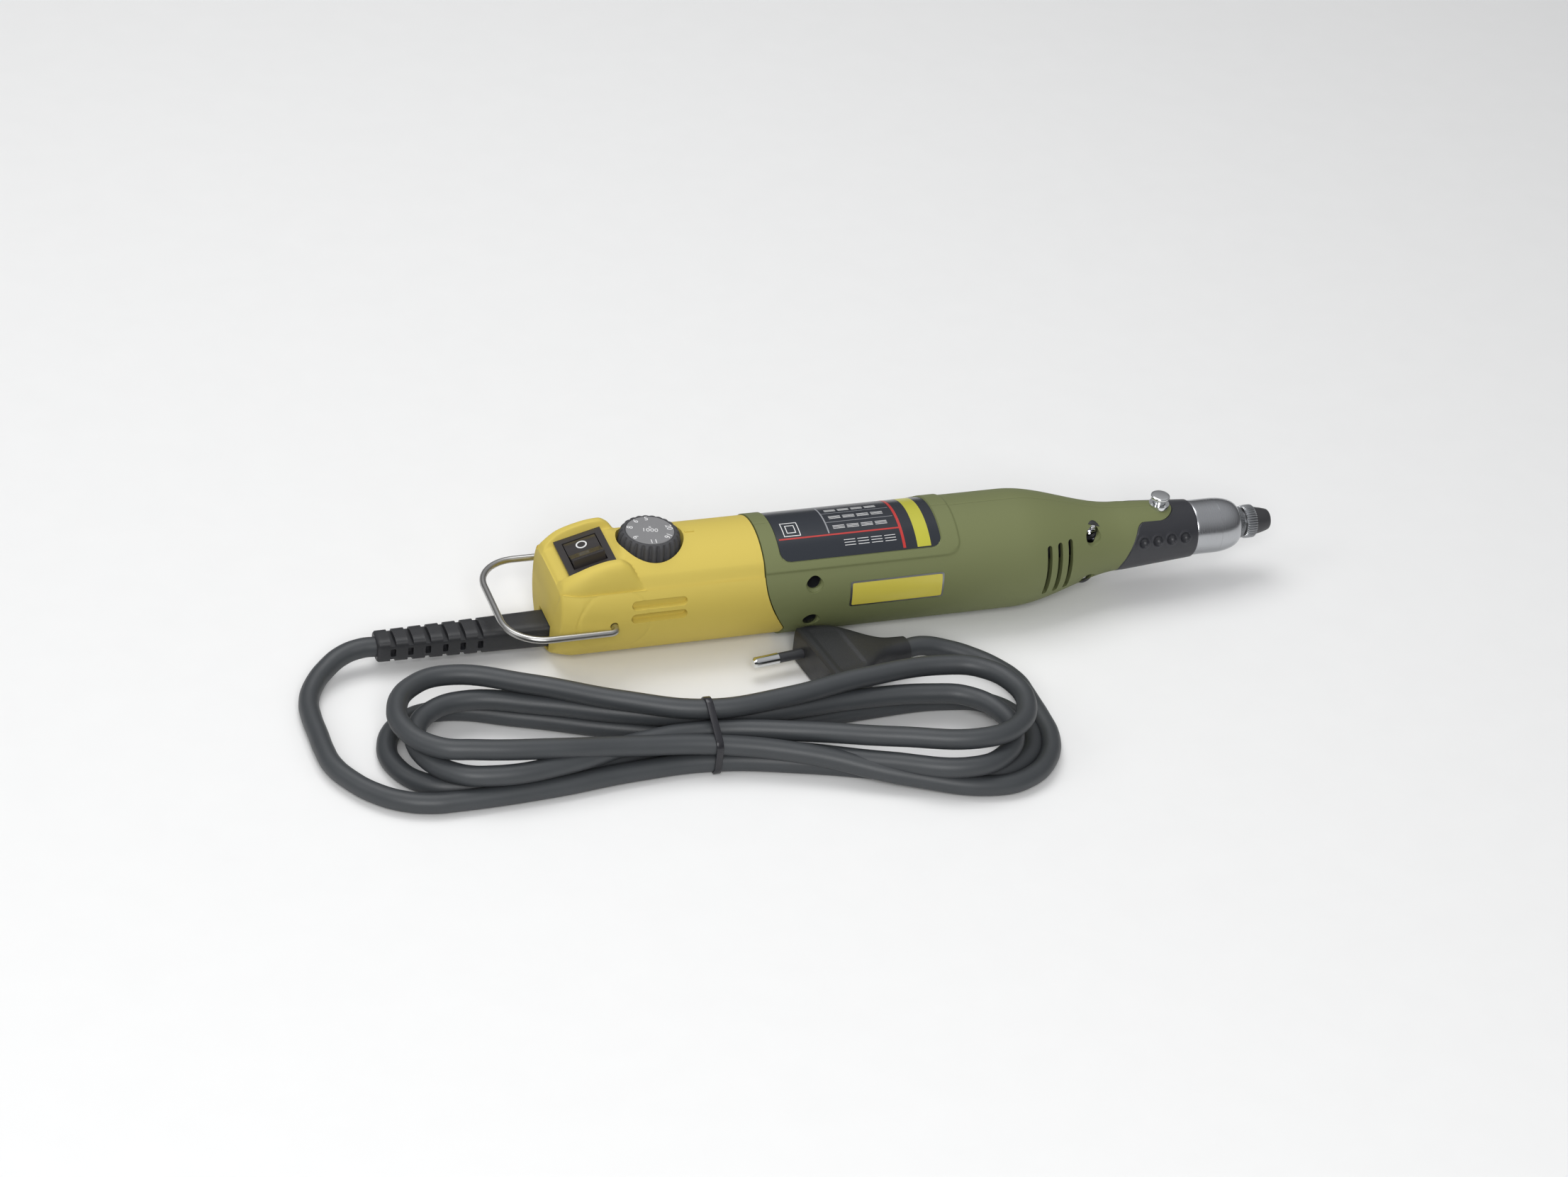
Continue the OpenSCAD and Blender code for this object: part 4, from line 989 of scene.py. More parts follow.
@dataclass(frozen=True)
class RearCap:
    """Yellow cap: sloping switch deck between two guard fins, recess for the dial, slots and pivots."""

    skin: Skin = Skin()
    wall: float = 2.4
    deck_u: float = 12.9
    deck_z: float = 16.4
    slope: float = 16.0
    dial_u: float = 35.5
    recess: float = 11.75
    recess_z: float = 15.9
    pivot: tuple[float, float] = (18.3, 0.0)
    boss: float = 13.0

    def top(self, u: np.ndarray, y: np.ndarray) -> np.ndarray:
        """Height of the cap's upper surface.

        Between the fins it is the sloping deck, eased up to the crown's circle in front. Each fin is a
        crest curve along u that falls to the ledge as a quarter ellipse on its outer side.

        Args:
            u: stations, as a column.
            y: places across, as a row.

        Returns:
            Heights for every pair.
        """
        side = np.abs(y)
        sunk = self.skin.body + 0.12 - 0.75 * ease((side - 14.6) / 2.6)
        crown = np.sqrt(np.maximum(sunk**2 - y**2, 0.0))
        deck = self.deck_z + (u - self.deck_u) * math.tan(math.radians(self.slope))
        inner = crown + (np.minimum(crown, deck) - crown) * (1 - ease((u - 21.8) / 3.4))
        crest = through(
            [0, 2, 6, 12, 18, 21, 24, 27, 30], [12.4, 14.6, 17.4, 19.9, 21.3, 21.5, 20.0, 16.2, 11.7], u
        )
        fall = np.clip((side - 13.0) / 4.3, 0.0, 1.0)
        fin = self.skin.ledge + 0.1 + (crest - self.skin.ledge - 0.1) * (1 - fall**2.6) ** 0.62
        outer = np.where(u < 21, fin, np.maximum(fin, crown))
        outer = np.where(u > 30, crown, outer)
        blend = ease((side - 10.2) / 1.9)
        z = inner * (1 - blend) + outer * blend
        return z - 0.9 * (1 - ease(u / 1.3))

    def build(self, shop: Toolmaker) -> None:
        """Lofts the cap as one closed wall, cuts its openings and adds the index mark.

        Args:
            shop: makes the solids.
        """
        y_top = np.concatenate([
            np.linspace(18.0, 17.3, 4, endpoint=False), np.linspace(17.3, 13.8, 16, endpoint=False),
            np.linspace(13.8, 12.1, 5, endpoint=False),
            np.linspace(12.1, 10.2, 12, endpoint=False), np.linspace(10.2, 0, 12, endpoint=False),
        ])
        y_top = np.concatenate([y_top, [0.0], -y_top[::-1]])
        corner = math.degrees(math.acos(self.skin.ledge / 21.25))
        phi = np.radians(np.linspace(corner, 360 - corner, 170))
        u = spaced(0.0, self.skin.cap_end, 0.62, (0.0, 6.0, self.skin.cap_end))
        rear = through([0, 0.5, 1.2, 5.6, 7.2, 9], [0.825, 0.865, 0.885, 0.98, 0.998, 1.0], u)[:, None]

        top = self.top(u[:, None], y_top[None, :])
        low_r = 21.25 - 0.5 * ease((np.degrees(np.minimum(phi, 2 * math.pi - phi)) - corner) / 40)
        low_y, low_z = -low_r * np.sin(phi), low_r * np.cos(phi)
        low = np.broadcast_to(low_y, (len(u), len(phi)))
        y = np.concatenate([np.broadcast_to(y_top, top.shape), low], axis=1)
        z = np.concatenate([top, np.broadcast_to(low_z, (len(u), len(phi)))], axis=1)
        near_pivot = np.hypot(u[:, None] - self.pivot[0], z - self.pivot[1]) - self.boss
        flank = ease((np.abs(y) - 17.5) / 1.5) * (z < self.skin.ledge)
        swell = (0.12 * (1 - ease(near_pivot / 0.5 + 0.5)) - 0.3 * np.exp(-((near_pivot / 0.4) ** 2))) * flank
        y_out = y * rear * (1 + swell / 21.0)
        z_out = np.where(z < 0, z * (0.35 * rear + 0.65), z)
        lean = self.skin.joint(z_out) - self.skin.cap_end
        short = self.skin.joint_gap * ease((u[:, None] - 70) / 3)
        u_out = u[:, None] + lean * ease((u[:, None] - 50) / 23) - short
        outer = np.stack([u_out, y_out, z_out], axis=-1)

        shrink = 1 - self.wall / self.skin.body
        keep = u >= 2.6
        roof = np.minimum(self.deck_z - 2.3 + (u - self.deck_u) * 0.2867, 13.2)
        roof = roof + (19.0 - roof) * ease((u - 48.5) / 3)
        z_in = np.minimum(z * shrink, roof[:, None] - 0.004 * np.abs(y))
        inner = np.stack([u_out, y * shrink * rear, z_in], axis=-1)[keep]
        shell = shop.loft("cap_shell", np.concatenate([inner, outer[::-1]]), Ends.CAPS, 34.0)

        slope = math.radians(self.slope)
        cutters = [
            shop.prism(
                [(self.recess_z - 0.9, circle(self.recess, 96)), (20.6, circle(self.recess, 96)),
                 (30.0, circle(self.recess + 1.6, 96))], False, (self.dial_u, 0.0)
            ),
            self._deck_opening(shop, slope),
            shop.prism([(-18.1, block(6.0, 6.7, 0.8)), (-7.7, block(6.0, 6.7, 0.8))], False, (-1.0, 0.0)),
        ]
        for side in (-1, 1):
            for height in (6.9, 2.0):
                levels = [(15.0, 1.35), (19.4, 1.5), (20.3, 1.75), (26.0, 2.2)]
                cutters.append(shop.prism(
                    [(side * at, stadium(8.3, r)) for at, r in levels][::side], True, (34.4, height)
                ))
            levels = [(15.0, 1.28), (20.6, 1.28), (21.3, 1.7), (26.0, 1.8)]
            cutters.append(shop.prism([(side * at, circle(r)) for at, r in levels][::side], True, self.pivot))
        carve(shell, cutters, 34.0)
        finish_piece(shell, YELLOW, "housing", "cap_yellow", "rear_cap")
        for side, where in ((-1, "near"), (1, "far")):
            levels = sorted((side * 17.6, side * 18.5))
            floor = shop.prism([(at, block(11.0, 5.2, 1.0)) for at in levels], True, (34.4, 4.4))
            floor.name = f"slot_floor_{where}"
            finish_piece(floor, YELLOW, "housing", "cap_yellow")

        crown = (self.skin.body - 0.1, self.skin.body + 0.42)
        mark = shop.patch("index_mark", (48.2, 51.6), (-0.9, 0.9), crown)
        finish_piece(mark, YELLOW, "housing", "cap_yellow")

    def _deck_opening(self, shop: Toolmaker, slope: float) -> bpy.types.Object:
        """A square-cornered cutter for the switch, standing at right angles to the deck.

        Args:
            shop: makes the solid.
            slope: the deck's slope in radians.

        Returns:
            The cutter.
        """
        ring = block(8.1, 10.1, 0.4)
        rings = []
        for height in (-9.0, 12.0):
            x = ring[:, 0] * math.cos(slope) - height * math.sin(slope)
            z = ring[:, 0] * math.sin(slope) + height * math.cos(slope)
            rings.append(np.stack([self.deck_u + x, ring[:, 1], self.deck_z + z], axis=-1))
        return shop.loft("cutter", np.array(rings))


@dataclass(frozen=True)
class MotorHousing:
    """Two green half shells, with the label's recess, screw wells and outlet slots."""

    skin: Skin = Skin()
    wall: float = 2.2
    core: float = 9.2
    panel_end: float = 145.7
    panel_half: float = 55.0
    label: tuple[float, float] = (79.2, 139.2)
    label_half: float = 46.7
    wells: tuple[tuple[float, float, float], ...] = ((90.8, 7.8, 19.6), (199.4, 9.4, 10.6))
    vent_u: float = 179.9
    vent_pitch: float = 4.5

    def outer(self, u: np.ndarray, a: np.ndarray) -> np.ndarray:
        """Outer radius: the skin, a low panel over the crown, the label's recess and the parting groove.

        Args:
            u: stations.
            a: angles from the crown in radians.

        Returns:
            The radius at each pair.
        """
        arc = np.abs(a) * self.skin.body
        degree = math.radians(1.0) * self.skin.body
        panel = rounded_box(u - self.panel_end / 2, arc, (self.panel_end / 2, self.panel_half * degree), 5.0)
        middle = (self.label[0] + self.label[1]) / 2
        half = ((self.label[1] - self.label[0]) / 2, self.label_half * degree)
        recess = rounded_box(u - middle, arc, half, 4.0)
        r = self.skin.radius(u)
        r = r + 0.5 * (1 - ease(panel / 0.9 + 0.5)) - 0.7 * (1 - ease(recess / 0.35 + 0.5))
        return r - 0.12 * np.exp(-((arc / 0.2) ** 2)) * (recess > 0)

    def half(self, shop: Toolmaker, side: int) -> bpy.types.Object:
        """One half shell, as a closed wall between its outer and inner surface.

        Args:
            shop: makes the solids.
            side: -1 for the near half, 1 for the far one.

        Returns:
            The shell, with all its openings cut.
        """
        name = "housing_near_shell" if side < 0 else "housing_far_shell"
        edges = (self.label[0], self.label[1], self.panel_end)
        u = spaced(self.skin.cap_end, self.skin.grip_end, 0.8, edges)[:, None]
        degree = math.degrees(1.0 / self.skin.body)
        bands = spaced(0.0, 180.0 / degree, 0.85, (0.0, self.label_half / degree, self.panel_half / degree))
        a = np.radians(bands * degree)[None, :]
        a = 0.0015 + a * (math.pi - 0.003) / math.pi
        base = self.skin.radius(u)
        z = base * np.cos(a)
        lean = self.skin.joint(z) - self.skin.cap_end
        ahead = u - self.skin.cap_end
        at = u + lean * (1 - ease(ahead / 24)) + self.skin.joint_gap * (1 - ease(ahead / 4))
        r = self.outer(at, a)
        inner = np.maximum(np.where(u < 206, base - self.wall, 7.7), 7.7) + 0 * a
        outer = np.stack([at, side * r * np.sin(a), r * np.cos(a)], axis=-1)
        lining = np.stack([at, side * inner * np.sin(a), inner * np.cos(a)], axis=-1)
        shell = shop.loft(name, np.concatenate([outer, lining[:, ::-1]], axis=1), Ends.SHELL, 30.0)

        cutters = [self._grip_seat(shop)]
        for k in range(3):
            levels = [(0.55 * self.skin.body * side, 1.0), (30.0 * side, 1.0)][::side]
            slot = [(at_y, stadium(8.9, r)[:, ::-1]) for at_y, r in levels]
            cutters.append(shop.prism(slot, True, (self.vent_u + self.vent_pitch * k, 1.0)))
        if side < 0:
            for station, height, surface in self.wells:
                levels = [(-30.0, 3.5), (-surface - 0.3, 3.3), (-surface + 0.6, 2.6), (-4.0, 2.6)]
                for z_at in (height, -height):
                    cutters.append(shop.prism([(y, circle(r)) for y, r in levels], True, (station, z_at)))
        carve(shell, cutters, 30.0)
        node = "housing_near" if side < 0 else "housing_far"
        return finish_piece(shell, GREEN, "housing", "housing_green", node)

    def _grip_seat(self, shop: Toolmaker) -> bpy.types.Object:
        """Cutter for the neck under the rubber grip: a thick ring with the grip's slanting rear edge.

        Args:
            shop: makes the solid.

        Returns:
            The cutter.
        """
        a = grip_angles()
        start = self.skin.grip_edge(a)
        corners = [(start, self.core), (start, 30.0), (250.0 + 0 * a, 30.0), (250.0 + 0 * a, self.core)]
        rings = np.stack([np.stack([u, r * np.sin(a), r * np.cos(a)], axis=-1) for u, r in corners], axis=1)
        return shop.loft("cutter", rings, Ends.LOOP)

    def wells_floor(self, shop: Toolmaker) -> None:
        """Screw bosses behind the wells: short tubes that carry the screw heads.

        Args:
            shop: makes the solids.
        """
        for number, (station, height, surface) in enumerate(self.wells):
            for z_at in (height, -height):
                ring = circle(3.6, 40)
                boss = shop.prism([(-surface + 1.9, ring), (-5.0, ring)], True, (station, z_at))
                boss.name = f"screw_boss_{number}_{'upper' if z_at > 0 else 'lower'}"
                carve(boss, [shop.prism([(-30.0, circle(2.6)), (-6.0, circle(2.6))], True, (station, z_at))])
                finish_piece(boss, MOULDED, "housing", "housing_green")

    def build(self, shop: Toolmaker) -> None:
        """Makes both halves and the bosses.

        Args:
            shop: makes the solids.
        """
        self.half(shop, -1)
        self.half(shop, 1)
        self.wells_floor(shop)


def grip_angles() -> np.ndarray:
    """Angles right round the neck, closest along the tongue and over the dimples.

    Returns:
        The angles in radians, rising, each one once.
    """
    turn = math.asin(7.0 / 12.0)
    before = np.array([-0.12, -0.07, -0.04, -0.02, -0.008, -0.002])
    after = np.array([0.002, 0.01, 0.025, 0.045, 0.07, 0.1, 0.14])
    near = turn + np.concatenate([before, after])
    dimples = np.radians(np.linspace(61.0, 83.0, 30))
    coarse = np.linspace(-math.pi, math.pi, 200, endpoint=False)
    every = np.concatenate([coarse, near, -near, dimples, -dimples])
    return np.unique(np.round(every, 5))


@dataclass(frozen=True)
class Grip:
    """Black rubber sleeve with four dimples on each flank."""

    skin: Skin = Skin()
    inner: float = 9.25
    dimple: float = 1.95
    pitch: float = 5.6
    first: float = 220.2
    dimple_angle: float = 72.0

    def build(self, shop: Toolmaker) -> None:
        """Makes the sleeve as rings of closed outlines, one for each angle.

        A dimple lowers the surface by depth * (1 - (d / radius)^2)^0.7 within its radius, with a low rim.

        Args:
            shop: makes the solids.
        """
        a = grip_angles()[:, None]
        t = np.linspace(0, 1, 124)[None, :]
        start = self.skin.grip_edge(a) + 0.12
        u = start + t * (self.skin.grip_end - start)
        r = self.skin.radius(u) + 0.12
        r = r - 0.35 * (1 - ease((u - start) / 0.5)) - 0.3 * ease((u - self.skin.grip_end + 0.6) / 0.6)
        for k in range(4):
            centre = self.first + self.pitch * k
            arc = (np.abs(a) - math.radians(self.dimple_angle)) * r
            d = np.hypot(u - centre, arc) / self.dimple
            r = r - 1.5 * np.maximum(1 - d**2, 0.0) ** 0.7 + 0.15 * np.exp(-(((d - 1.15) / 0.18) ** 2))
        outer = np.stack(np.broadcast_arrays(u, r * np.sin(a), r * np.cos(a)), axis=-1)
        back = start + (1 - t) * (self.skin.grip_end - start)
        lining = np.stack(np.broadcast_arrays(back, self.inner * np.sin(a), self.inner * np.cos(a)), axis=-1)
        sleeve = shop.loft("grip_rubber", np.concatenate([outer, lining], axis=1), Ends.LOOP, 38.0)
        well = circle(3.75)
        carve(sleeve, [shop.prism([(5.0, well), (20.0, well)], False, (229.5, 0.0))], 38.0)
        finish_piece(sleeve, GRIP, "housing", "grip_black", "grip_sleeve")


@dataclass(frozen=True)
class Markings:
    """Plain label over the crown and raised badges on the flanks."""

    skin: Skin = Skin()
    label: tuple[float, float] = (79.4, 139.0)
    half: float = 45.6
    mark_angle: float = -11.5
    badge: tuple[float, float] = (104.0, 139.0)
    badge_angles: tuple[float, float] = (70.5, 96.4)
    rim: tuple[float, float] = (0.7, 1.6)

    def build(self, shop: Toolmaker) -> None:
        """Lays the film, its coloured lines and blank text bars, and the badges.

        Args:
            shop: makes the solids.
        """
        film = self.skin.body + 0.02
        print_r = (film - 0.05, film + 0.035)
        label = shop.patch("rating_film", self.label, (-self.half, self.half), (film - 0.32, film), 3.6)
        finish_piece(label, LABEL, "housing", "label_film", "rating_label")
        lines: list[tuple[str, Finish, tuple[float, float], tuple[float, float]]] = [
            ("label_stripe", LABEL_LIME, (129.9, 135.0), (-44.4, 44.4)),
            ("label_line_cross", LABEL_RED, (124.6, 125.6), (-44.0, 44.0)),
            ("label_line_near", LABEL_RED, (80.2, 125.0), (-23.6, -22.0)),
            ("label_line_far", LABEL_GREY, (99.0, 124.0), (6.0, 6.5)),
            ("label_divider", LABEL_GREY, (99.0, 124.0), (-8.0, -7.5)),
            ("label_upright", LABEL_GREY, (98.6, 99.1), (-21.0, 22.0)),
        ]
        bars = [
            (-32.5, 103.5, 123.5, 6.4), (-14.5, 101.0, 122.0, 4.2),
            (-1.0, 101.0, 122.0, 4.2), (12.0, 101.0, 121.0, 4.0),
        ]
        for row, (angle, first, last, height) in enumerate(bars):
            for part in range(4):
                step = (last - first) / 4
                stretch = (first + step * part, first + step * (part + 1) - 0.9)
                for edge in (-0.5, 0.0, 0.5):
                    middle = angle + edge * (height - 0.9)
                    name = f"label_bar_{row}_{part}_{int(edge * 2) + 1}"
                    lines.append((name, PRINT, stretch, (middle - 0.28, middle + 0.28)))
        for name, low, high in (("outer", 82.4, 88.6), ("inner", 83.8, 87.2)):
            reach = (high - low) / 0.372 / 2
            spread = (self.mark_angle - reach, self.mark_angle + reach)
            for edge in (-1, 1):
                at = self.mark_angle + edge * reach
                lines.append((f"label_box_{name}_{edge + 1}", PRINT, (low, high), (at - 0.4, at + 0.4)))
                across = low if edge < 0 else high - 0.3
                lines.append((f"label_side_{name}_{edge + 1}", PRINT, (across, across + 0.3), spread))
        for name, finish, stretch, angles in lines:
            finish_piece(shop.patch(name, stretch, angles, print_r), finish, "housing", "label_film")
        for side, where in ((-1, "near"), (1, "far")):
            low, high = self.badge_angles
            body, (edge, edge_deg) = self.skin.body, self.rim
            angles = tuple(sorted((side * low, side * high)))
            plate = shop.patch(f"badge_{where}", self.badge, angles, (body - 1.2, body + 0.28), 0.8)
            nodes = ("side_badges",) if side < 0 else ()
            finish_piece(plate, RING_STEEL, "housing", "badge_yellow", *nodes)
            inner = tuple(sorted((side * (low + edge_deg), side * (high - edge_deg))))
            stretch = (self.badge[0] + edge, self.badge[1] - edge)
            face = shop.patch(f"badge_face_{where}", stretch, inner, (body + 0.1, body + 0.4), 0.5)
            finish_piece(face, BADGE, "housing", "badge_yellow")


# --------------------------------------------------------------------------- nose, dial and switch


@dataclass(frozen=True)
class Nose:
    """Turned pieces at the front: collar, rounded cone, ribbed ring, nut, and the lock's spool."""

    collar: float = 10.0
    start: float = 242.5
    collar_end: float = 252.5
    cone_end: float = 261.9
    nut: float = 264.6
    tip: float = 275.0
    lock_u: float = 229.5

    def build(self, shop: Toolmaker) -> None:
        """Makes each turned piece.

        Args:
            shop: makes the solids.
        """
        r, s, e = self.collar, self.start + 0.06, self.collar_end - 0.04
        collar = shop.turned("stand_collar", [
            (s - 20, 5.3), (s - 20, 7.4), (s, 7.5), (s, r - 0.4), (s + 0.12, r - 0.14), (s + 0.4, r),
            (s + 1.0, r),
            (e - 0.7, r), (e - 0.04, r), (e, r - 0.03), (e, 8.05), (e - 5, 8.05), (e - 5, 5.3),
        ], 160)
        finish_piece(collar, STEEL, "housing", "satin_steel", "nose_collar")
        t = np.radians(np.linspace(0, 90, 30))
        long = self.cone_end - self.collar_end
        ogive = [
            (self.collar_end + long * math.sin(x), 5.75 + (r - 5.8) * math.cos(x) ** 0.98) for x in t[:-1]
        ]
        cone = shop.turned("nose_bullet", [
            (self.collar_end, 4.95), (self.collar_end, r - 0.06), (self.collar_end + 0.04, r - 0.03),
            *ogive[1:],
            (self.cone_end - 0.05, 5.75), (self.cone_end, 5.5), (self.cone_end, 4.95),
        ], 160)
        finish_piece(cone, STEEL, "housing", "satin_steel", "nose_cone")
        c = self.cone_end
        ring = shop.turned("seal_ring", [
            (c + 0.02, 4.95), (c + 0.02, 5.4), (c + 0.2, 5.75), (c + 0.9, 5.8), (c + 1.6, 5.75),
            (c + 1.88, 5.4), (c + 1.88, 4.95),
        ], 480, (60, 0.42, (c + 0.1, c + 1.8)))
        finish_piece(ring, RING_STEEL, "housing", "bearing_steel", "nose_ring")
        n, tip = self.nut, self.tip
        nut = shop.turned("knurled_nut", [
            (n, 4.66), (n, 5.0), (n + 0.3, 5.3), (n + 4.0, 5.3), (n + 4.3, 5.15), (n + 4.8, 5.05),
            (n + 7.2, 4.6),
            (tip - 1.2, 4.05), (tip - 0.4, 3.75), (tip - 0.08, 3.4), (tip, 3.1), (tip, 2.7), (n + 7.4, 2.7),
            (n + 5.6, 3.3), (n + 4.5, 4.66),
        ], 160)
        finish_piece(nut, BLACK_STEEL, "nut", "black_steel", "collet_nut")
        knurl = shop.turned("nut_knurl", [
            (n + 0.1, 5.0), (n + 0.1, 5.7), (n + 0.4, 6.05), (n + 2.0, 6.1), (n + 3.7, 6.05), (n + 4.1, 5.7),
            (n + 4.1, 5.0),
        ], 480, (40, 0.5, (n, n + 4.2)))
        finish_piece(knurl, RING_STEEL, "nut", "black_steel")
        spool = shop.spun("lock_spool", (self.lock_u, 0.0), [
            (0.01, 4.6), (1.1, 4.6), (1.2, 4.9), (1.2, 11.3), (2.1, 11.35), (2.15, 12.2), (2.15, 14.3),
            (2.25, 14.62),
            (2.9, 14.68), (3.4, 14.8), (3.55, 15.05), (3.52, 15.45), (3.3, 15.75), (2.6, 15.88), (0.01, 15.9),
        ], 80, 45.0)
        finish_piece(spool, CHROME, "lock", "bright_chrome", "lock_button")


@dataclass(frozen=True)
class SpeedDial:
    """Ribbed dial with a printed grey face."""

    at: float = 35.5
    radius: float = 11.1
    foot: float = 16.2
    top: float = 23.6
    ribs: int = 24
    numbers: tuple[tuple[str, float], ...] = (
        ("5", 84.0), ("6", 119.0), ("8", 157.0), ("9", 209.0), ("11", 264.0), ("16", 318.0), ("20", 363.0),
    )

    def build(self, shop: Toolmaker) -> None:
        """Makes the skirt, the face and the printed numbers.

        The skirt's radius is a plain taper less 0.85 (0.5 + 0.5 cos(n a))^1.6, which leaves wide ribs.

        Args:
            shop: makes the solids.
        """
        profile = np.array([
            (0.05, self.foot), (10.2, self.foot), (10.95, self.foot + 0.15), (self.radius, self.foot + 0.5),
            (11.05, 18.0), (10.85, 20.5), (10.55, 22.2), (10.2, 22.9), (9.7, 23.4), (9.0, self.top),
            (8.62, 23.58), (8.5, 23.3), (0.05, 23.3),
        ])
        a = np.linspace(0, 2 * math.pi, 384, endpoint=False)[None, :]
        r, z = profile[:, :1], profile[:, 1:]
        weight = ease((r - 9.3) / 0.9) * ease((z - self.foot) / 0.4 + 0.5)
        r = r - weight * 0.85 * (0.5 + 0.5 * np.cos(self.ribs * a)) ** 1.6
        rings = np.stack(np.broadcast_arrays(self.at + r * np.cos(a), r * np.sin(a), z), axis=-1)
        skirt = shop.loft("dial_skirt", rings, Ends.CAPS, 40.0)
        finish_piece(skirt, DIAL, "dial", "dial_black", "speed_knob")
        face = shop.spun("dial_face", (self.at, 0.0), [
            (0.05, 23.1), (8.4, 23.1), (8.42, 23.6), (8.2, 23.8), (0.05, 23.8),
        ], 96)
        finish_piece(face, DIAL_FACE, "dial", "dial_grey", "knob_disc")
        for text, angle in self.numbers:
            self._print(shop, text, angle, 6.9, 2.5)
        self._print(shop, "x", 75.0, 1.9, 1.6)
        self._print(shop, "1000", 75.0, -0.2, 2.3)

    def _print(self, shop: Toolmaker, text: str, angle: float, out: float, size: float) -> None:
        """Prints figures on the face with their heads outwards.

        Args:
            shop: gives the tool's axis.
            text: the figures.
            angle: their place round the dial in degrees.
            out: distance from the middle.
            size: height of the type.
        """
        data = bpy.data.curves.new("print", "FONT")
        data.body, data.size = text, size * 1.25 * MM
        data.align_x, data.align_y, data.extrude = "CENTER", "CENTER", 0.00004
        data.resolution_u = 3
        source = bpy.data.objects.new("print", data)
        bpy.context.scene.collection.objects.link(source)
        graph = bpy.context.evaluated_depsgraph_get()
        mesh = bpy.data.meshes.new_from_object(source.evaluated_get(graph))
        bpy.data.objects.remove(source)
        spin = math.radians(angle)
        at = shop.axis.place(np.array([self.at + out * math.cos(spin), out * math.sin(spin), 23.82]))
        mesh.transform(Matrix.Translation(at) @ Matrix.Rotation(spin - math.pi / 2, 4, "Z"))
        piece = bpy.data.objects.new(f"dial_print_{text}", mesh)
        bpy.context.scene.collection.objects.link(piece)
        finish_piece(piece, PRINT, "dial", "dial_grey")


@dataclass(frozen=True)
class Rocker:
    """Rocker of the mains switch, tipped so that its far half is pressed."""

    deck_u: float = 12.9
    deck_z: float = 16.4
    slope: float = 16.0
    tilt: float = 12.0
    length: float = 11.6
    half: float = 7.3

    def _seat(self, local: np.ndarray, tilt: float) -> np.ndarray:
        """Turns points of the rocker's own frame into the tool's frame.

        Args:
            local: points along the pivot, across it and up.
            tilt: turn about the pivot in degrees.

        Returns:
            The points in the tool's millimetres.
        """
        t, s = math.radians(tilt), math.radians(self.slope)
        x, y, z = (local[..., n] for n in range(3))
        y, z = y * math.cos(t) - z * math.sin(t), y * math.sin(t) + z * math.cos(t)
        u = self.deck_u + x * math.cos(s) - z * math.sin(s)
        height = self.deck_z + x * math.sin(s) + z * math.cos(s)
        return np.stack([u, y, height], axis=-1)

    def build(self, shop: Toolmaker) -> None:
        """Lofts the two-faced rocker and lays the white ring on its pressed half.

        Args:
            shop: makes the solids.
        """
        h, rise = self.half, self.half * math.tan(math.radians(self.tilt))
        outline = np.array([
            (-h, rise + 0.9), (-h + 0.12, rise + 1.25), (-h + 0.5, rise + 1.32), (-3.6, rise / 2 + 1.36),
            (-0.6, 1.5),
            (0, 1.44), (0.6, 1.5), (3.6, rise / 2 + 1.36), (h - 0.5, rise + 1.32), (h - 0.12, rise + 1.25),
            (h, rise + 0.9), (h - 0.3, -1.0), (3.0, -4.0), (-3.0, -4.0), (-h + 0.3, -1.0),
        ])
        half = self.length / 2
        rings = []
        for x, inset in ((-half, 0.3), (-half + 0.3, 0.0), (0.0, 0.0), (half - 0.3, 0.0), (half, 0.3)):
            ring = outline * (1 - inset / h)
            rings.append(np.concatenate([np.full((len(ring), 1), x), ring], axis=1))
        rocker = shop.loft("rocker_key", self._seat(np.array(rings), -self.tilt), Ends.CAPS, 30.0)
        finish_piece(rocker, SWITCH, "rocker", "switch_black", "switch_rocker")
        a = np.linspace(0, 2 * math.pi, 48, endpoint=False)[:, None]
        edge = np.array([(1.45, -0.1), (1.45, 0.06), (1.95, 0.06), (1.95, -0.1)])
        y = 3.8 + edge[None, :, 0] * np.sin(a)
        z = 1.44 + y * math.tan(math.radians(self.tilt)) * 0.98 + edge[None, :, 1]
        ring = np.stack(np.broadcast_arrays(edge[None, :, 0] * np.cos(a), y, z), axis=-1)
        mark = shop.loft("rocker_ring", self._seat(ring, -self.tilt), Ends.LOOP, 40.0)
        finish_piece(mark, PRINT, "rocker", "switch_black")


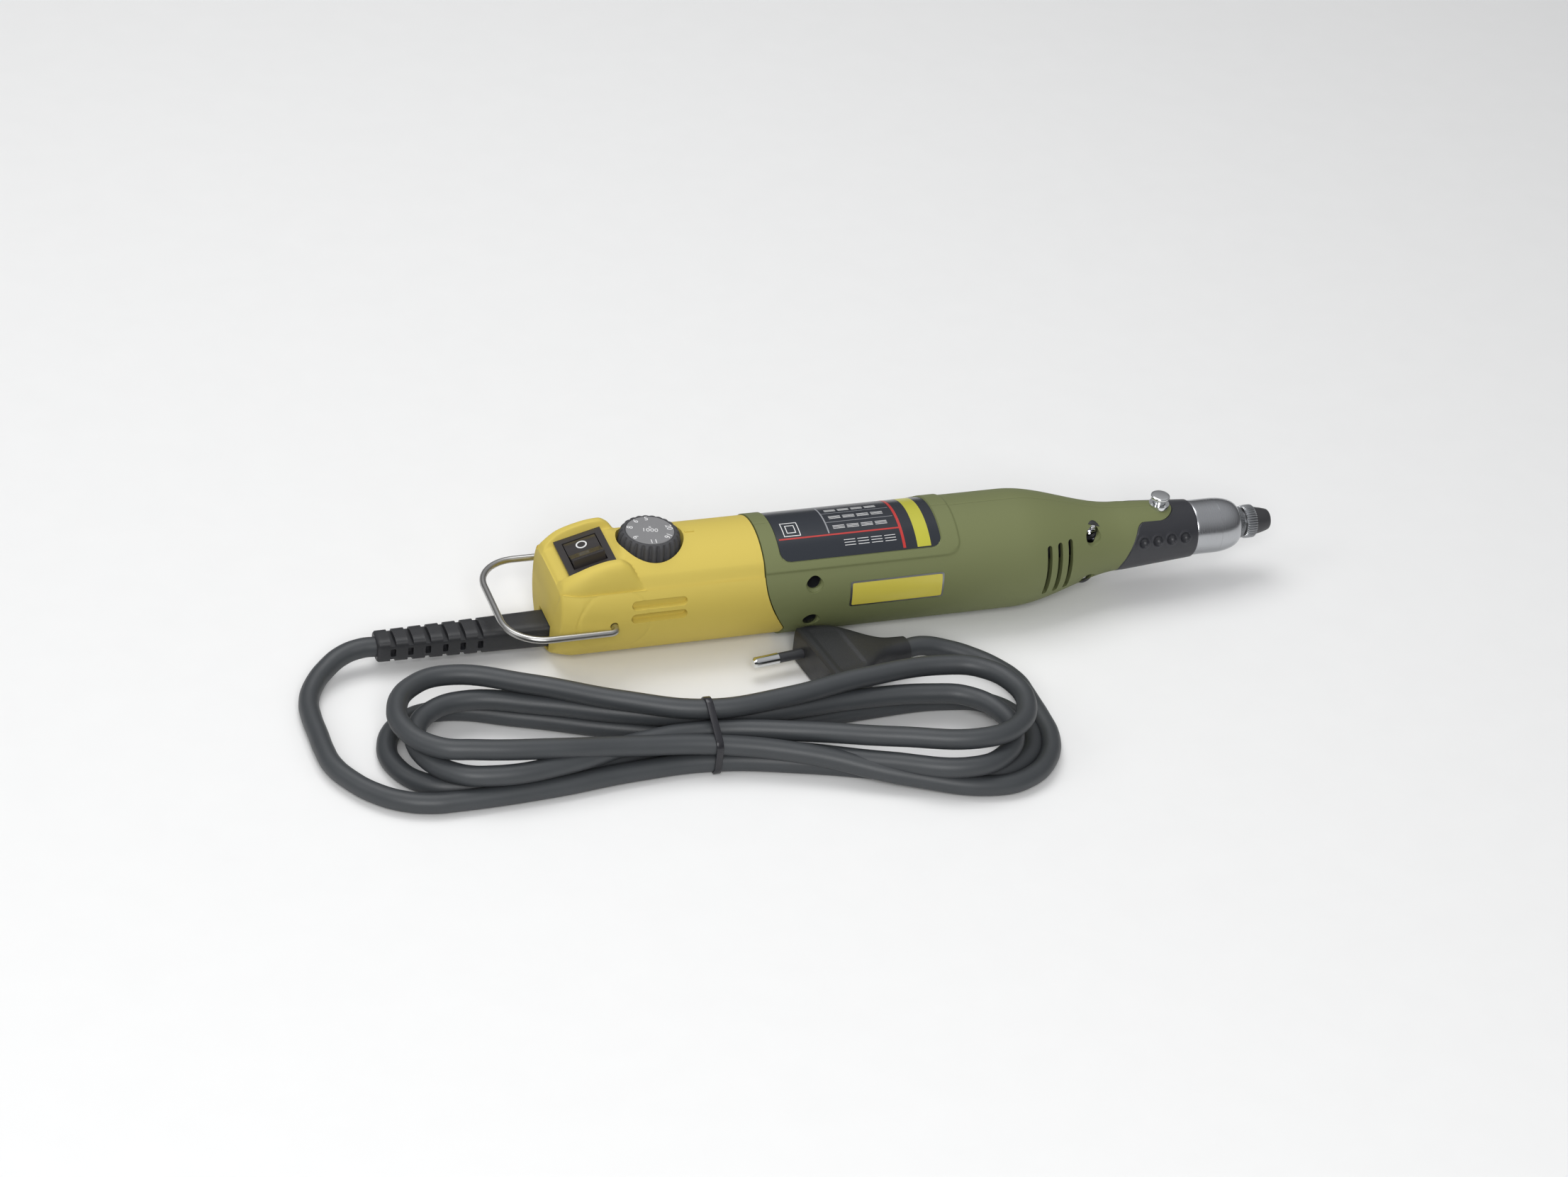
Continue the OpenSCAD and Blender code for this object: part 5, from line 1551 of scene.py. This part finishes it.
@dataclass(frozen=True)
class HangingBail:
    """Bent wire bail with its ends turned in to the pivots."""

    pivot: tuple[float, float] = (18.3, 0.0)
    half: float = 24.6
    reach: float = 37.5
    corner: float = 14.0
    wire: float = 1.2
    bend: float = 2.2

    def build(self, shop: Toolmaker) -> None:
        """Sweeps the wire's round section along its level path.

        The path is the pivot end, a small bend, the arm, a large corner and half the rear bar, and the
        same mirrored. Each ring is centre + wire * (cos a * side + sin a * up).

        Args:
            shop: makes the solids.
        """
        quarter = np.radians(np.linspace(0, 90, 9))
        wide = np.radians(np.linspace(0, 90, 25))
        rear = self.pivot[0] - self.reach
        tips = np.array([(self.pivot[0], 18.9), (self.pivot[0], self.half - self.bend)])
        small = np.stack([
            self.pivot[0] - self.bend + self.bend * np.cos(quarter),
            self.half - self.bend + self.bend * np.sin(quarter),
        ], axis=-1)
        large = np.stack([
            rear + self.corner - self.corner * np.sin(wide),
            self.half - self.corner + self.corner * np.cos(wide),
        ], axis=-1)
        side = np.concatenate([tips[:1], small, large, [[rear, 4.0]]])
        path = np.concatenate([side, side[::-1] * np.array([1, -1])])
        ahead = np.gradient(path, axis=0)
        ahead /= np.linalg.norm(ahead, axis=1, keepdims=True)
        a = np.linspace(0, 2 * math.pi, 20, endpoint=False)[None, :]
        normal = np.stack([-ahead[:, 1], ahead[:, 0]], axis=-1)
        rings = np.stack([
            path[:, :1] + self.wire * np.cos(a) * normal[:, :1],
            path[:, 1:] + self.wire * np.cos(a) * normal[:, 1:],
            self.pivot[1] + self.wire * np.broadcast_to(np.sin(a), (len(path), 20)),
        ], axis=-1)
        bail = shop.loft("bail_wire", rings, Ends.CAPS, 50.0)
        finish_piece(bail, WIRE, "hanger", "satin_steel", "hanger_wire")


# -------------------------------------------------------------------------------------------- main


def dress_nodes() -> None:
    """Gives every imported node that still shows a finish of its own."""
    for name, finish in NODE_FINISHES.items():
        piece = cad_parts[name]
        material = finish.material()
        if not piece.material_slots:
            piece.data.materials.append(material)
        for place in piece.material_slots:
            place.material = material


def main() -> None:
    """Builds the studio, the lead and then every visible piece of the tool."""
    logging.basicConfig(level=logging.INFO, format="%(message)s")
    Studio().build()
    MainsLead().build(Plug().build())
    shop = Toolmaker(Axis.from_frame())
    StrainRelief().build(shop)
    RearCap().build(shop)
    MotorHousing().build(shop)
    Grip().build(shop)
    Markings().build(shop)
    Nose().build(shop)
    SpeedDial().build(shop)
    Rocker().build(shop)
    HangingBail().build(shop)
    dress_nodes()
    boxes = {"cad": cad_box, "visual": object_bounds()}
    {k: [[float(x) for x in corner] for corner in box] for k, box in boxes.items()}


if __name__ == "__main__":
    main()
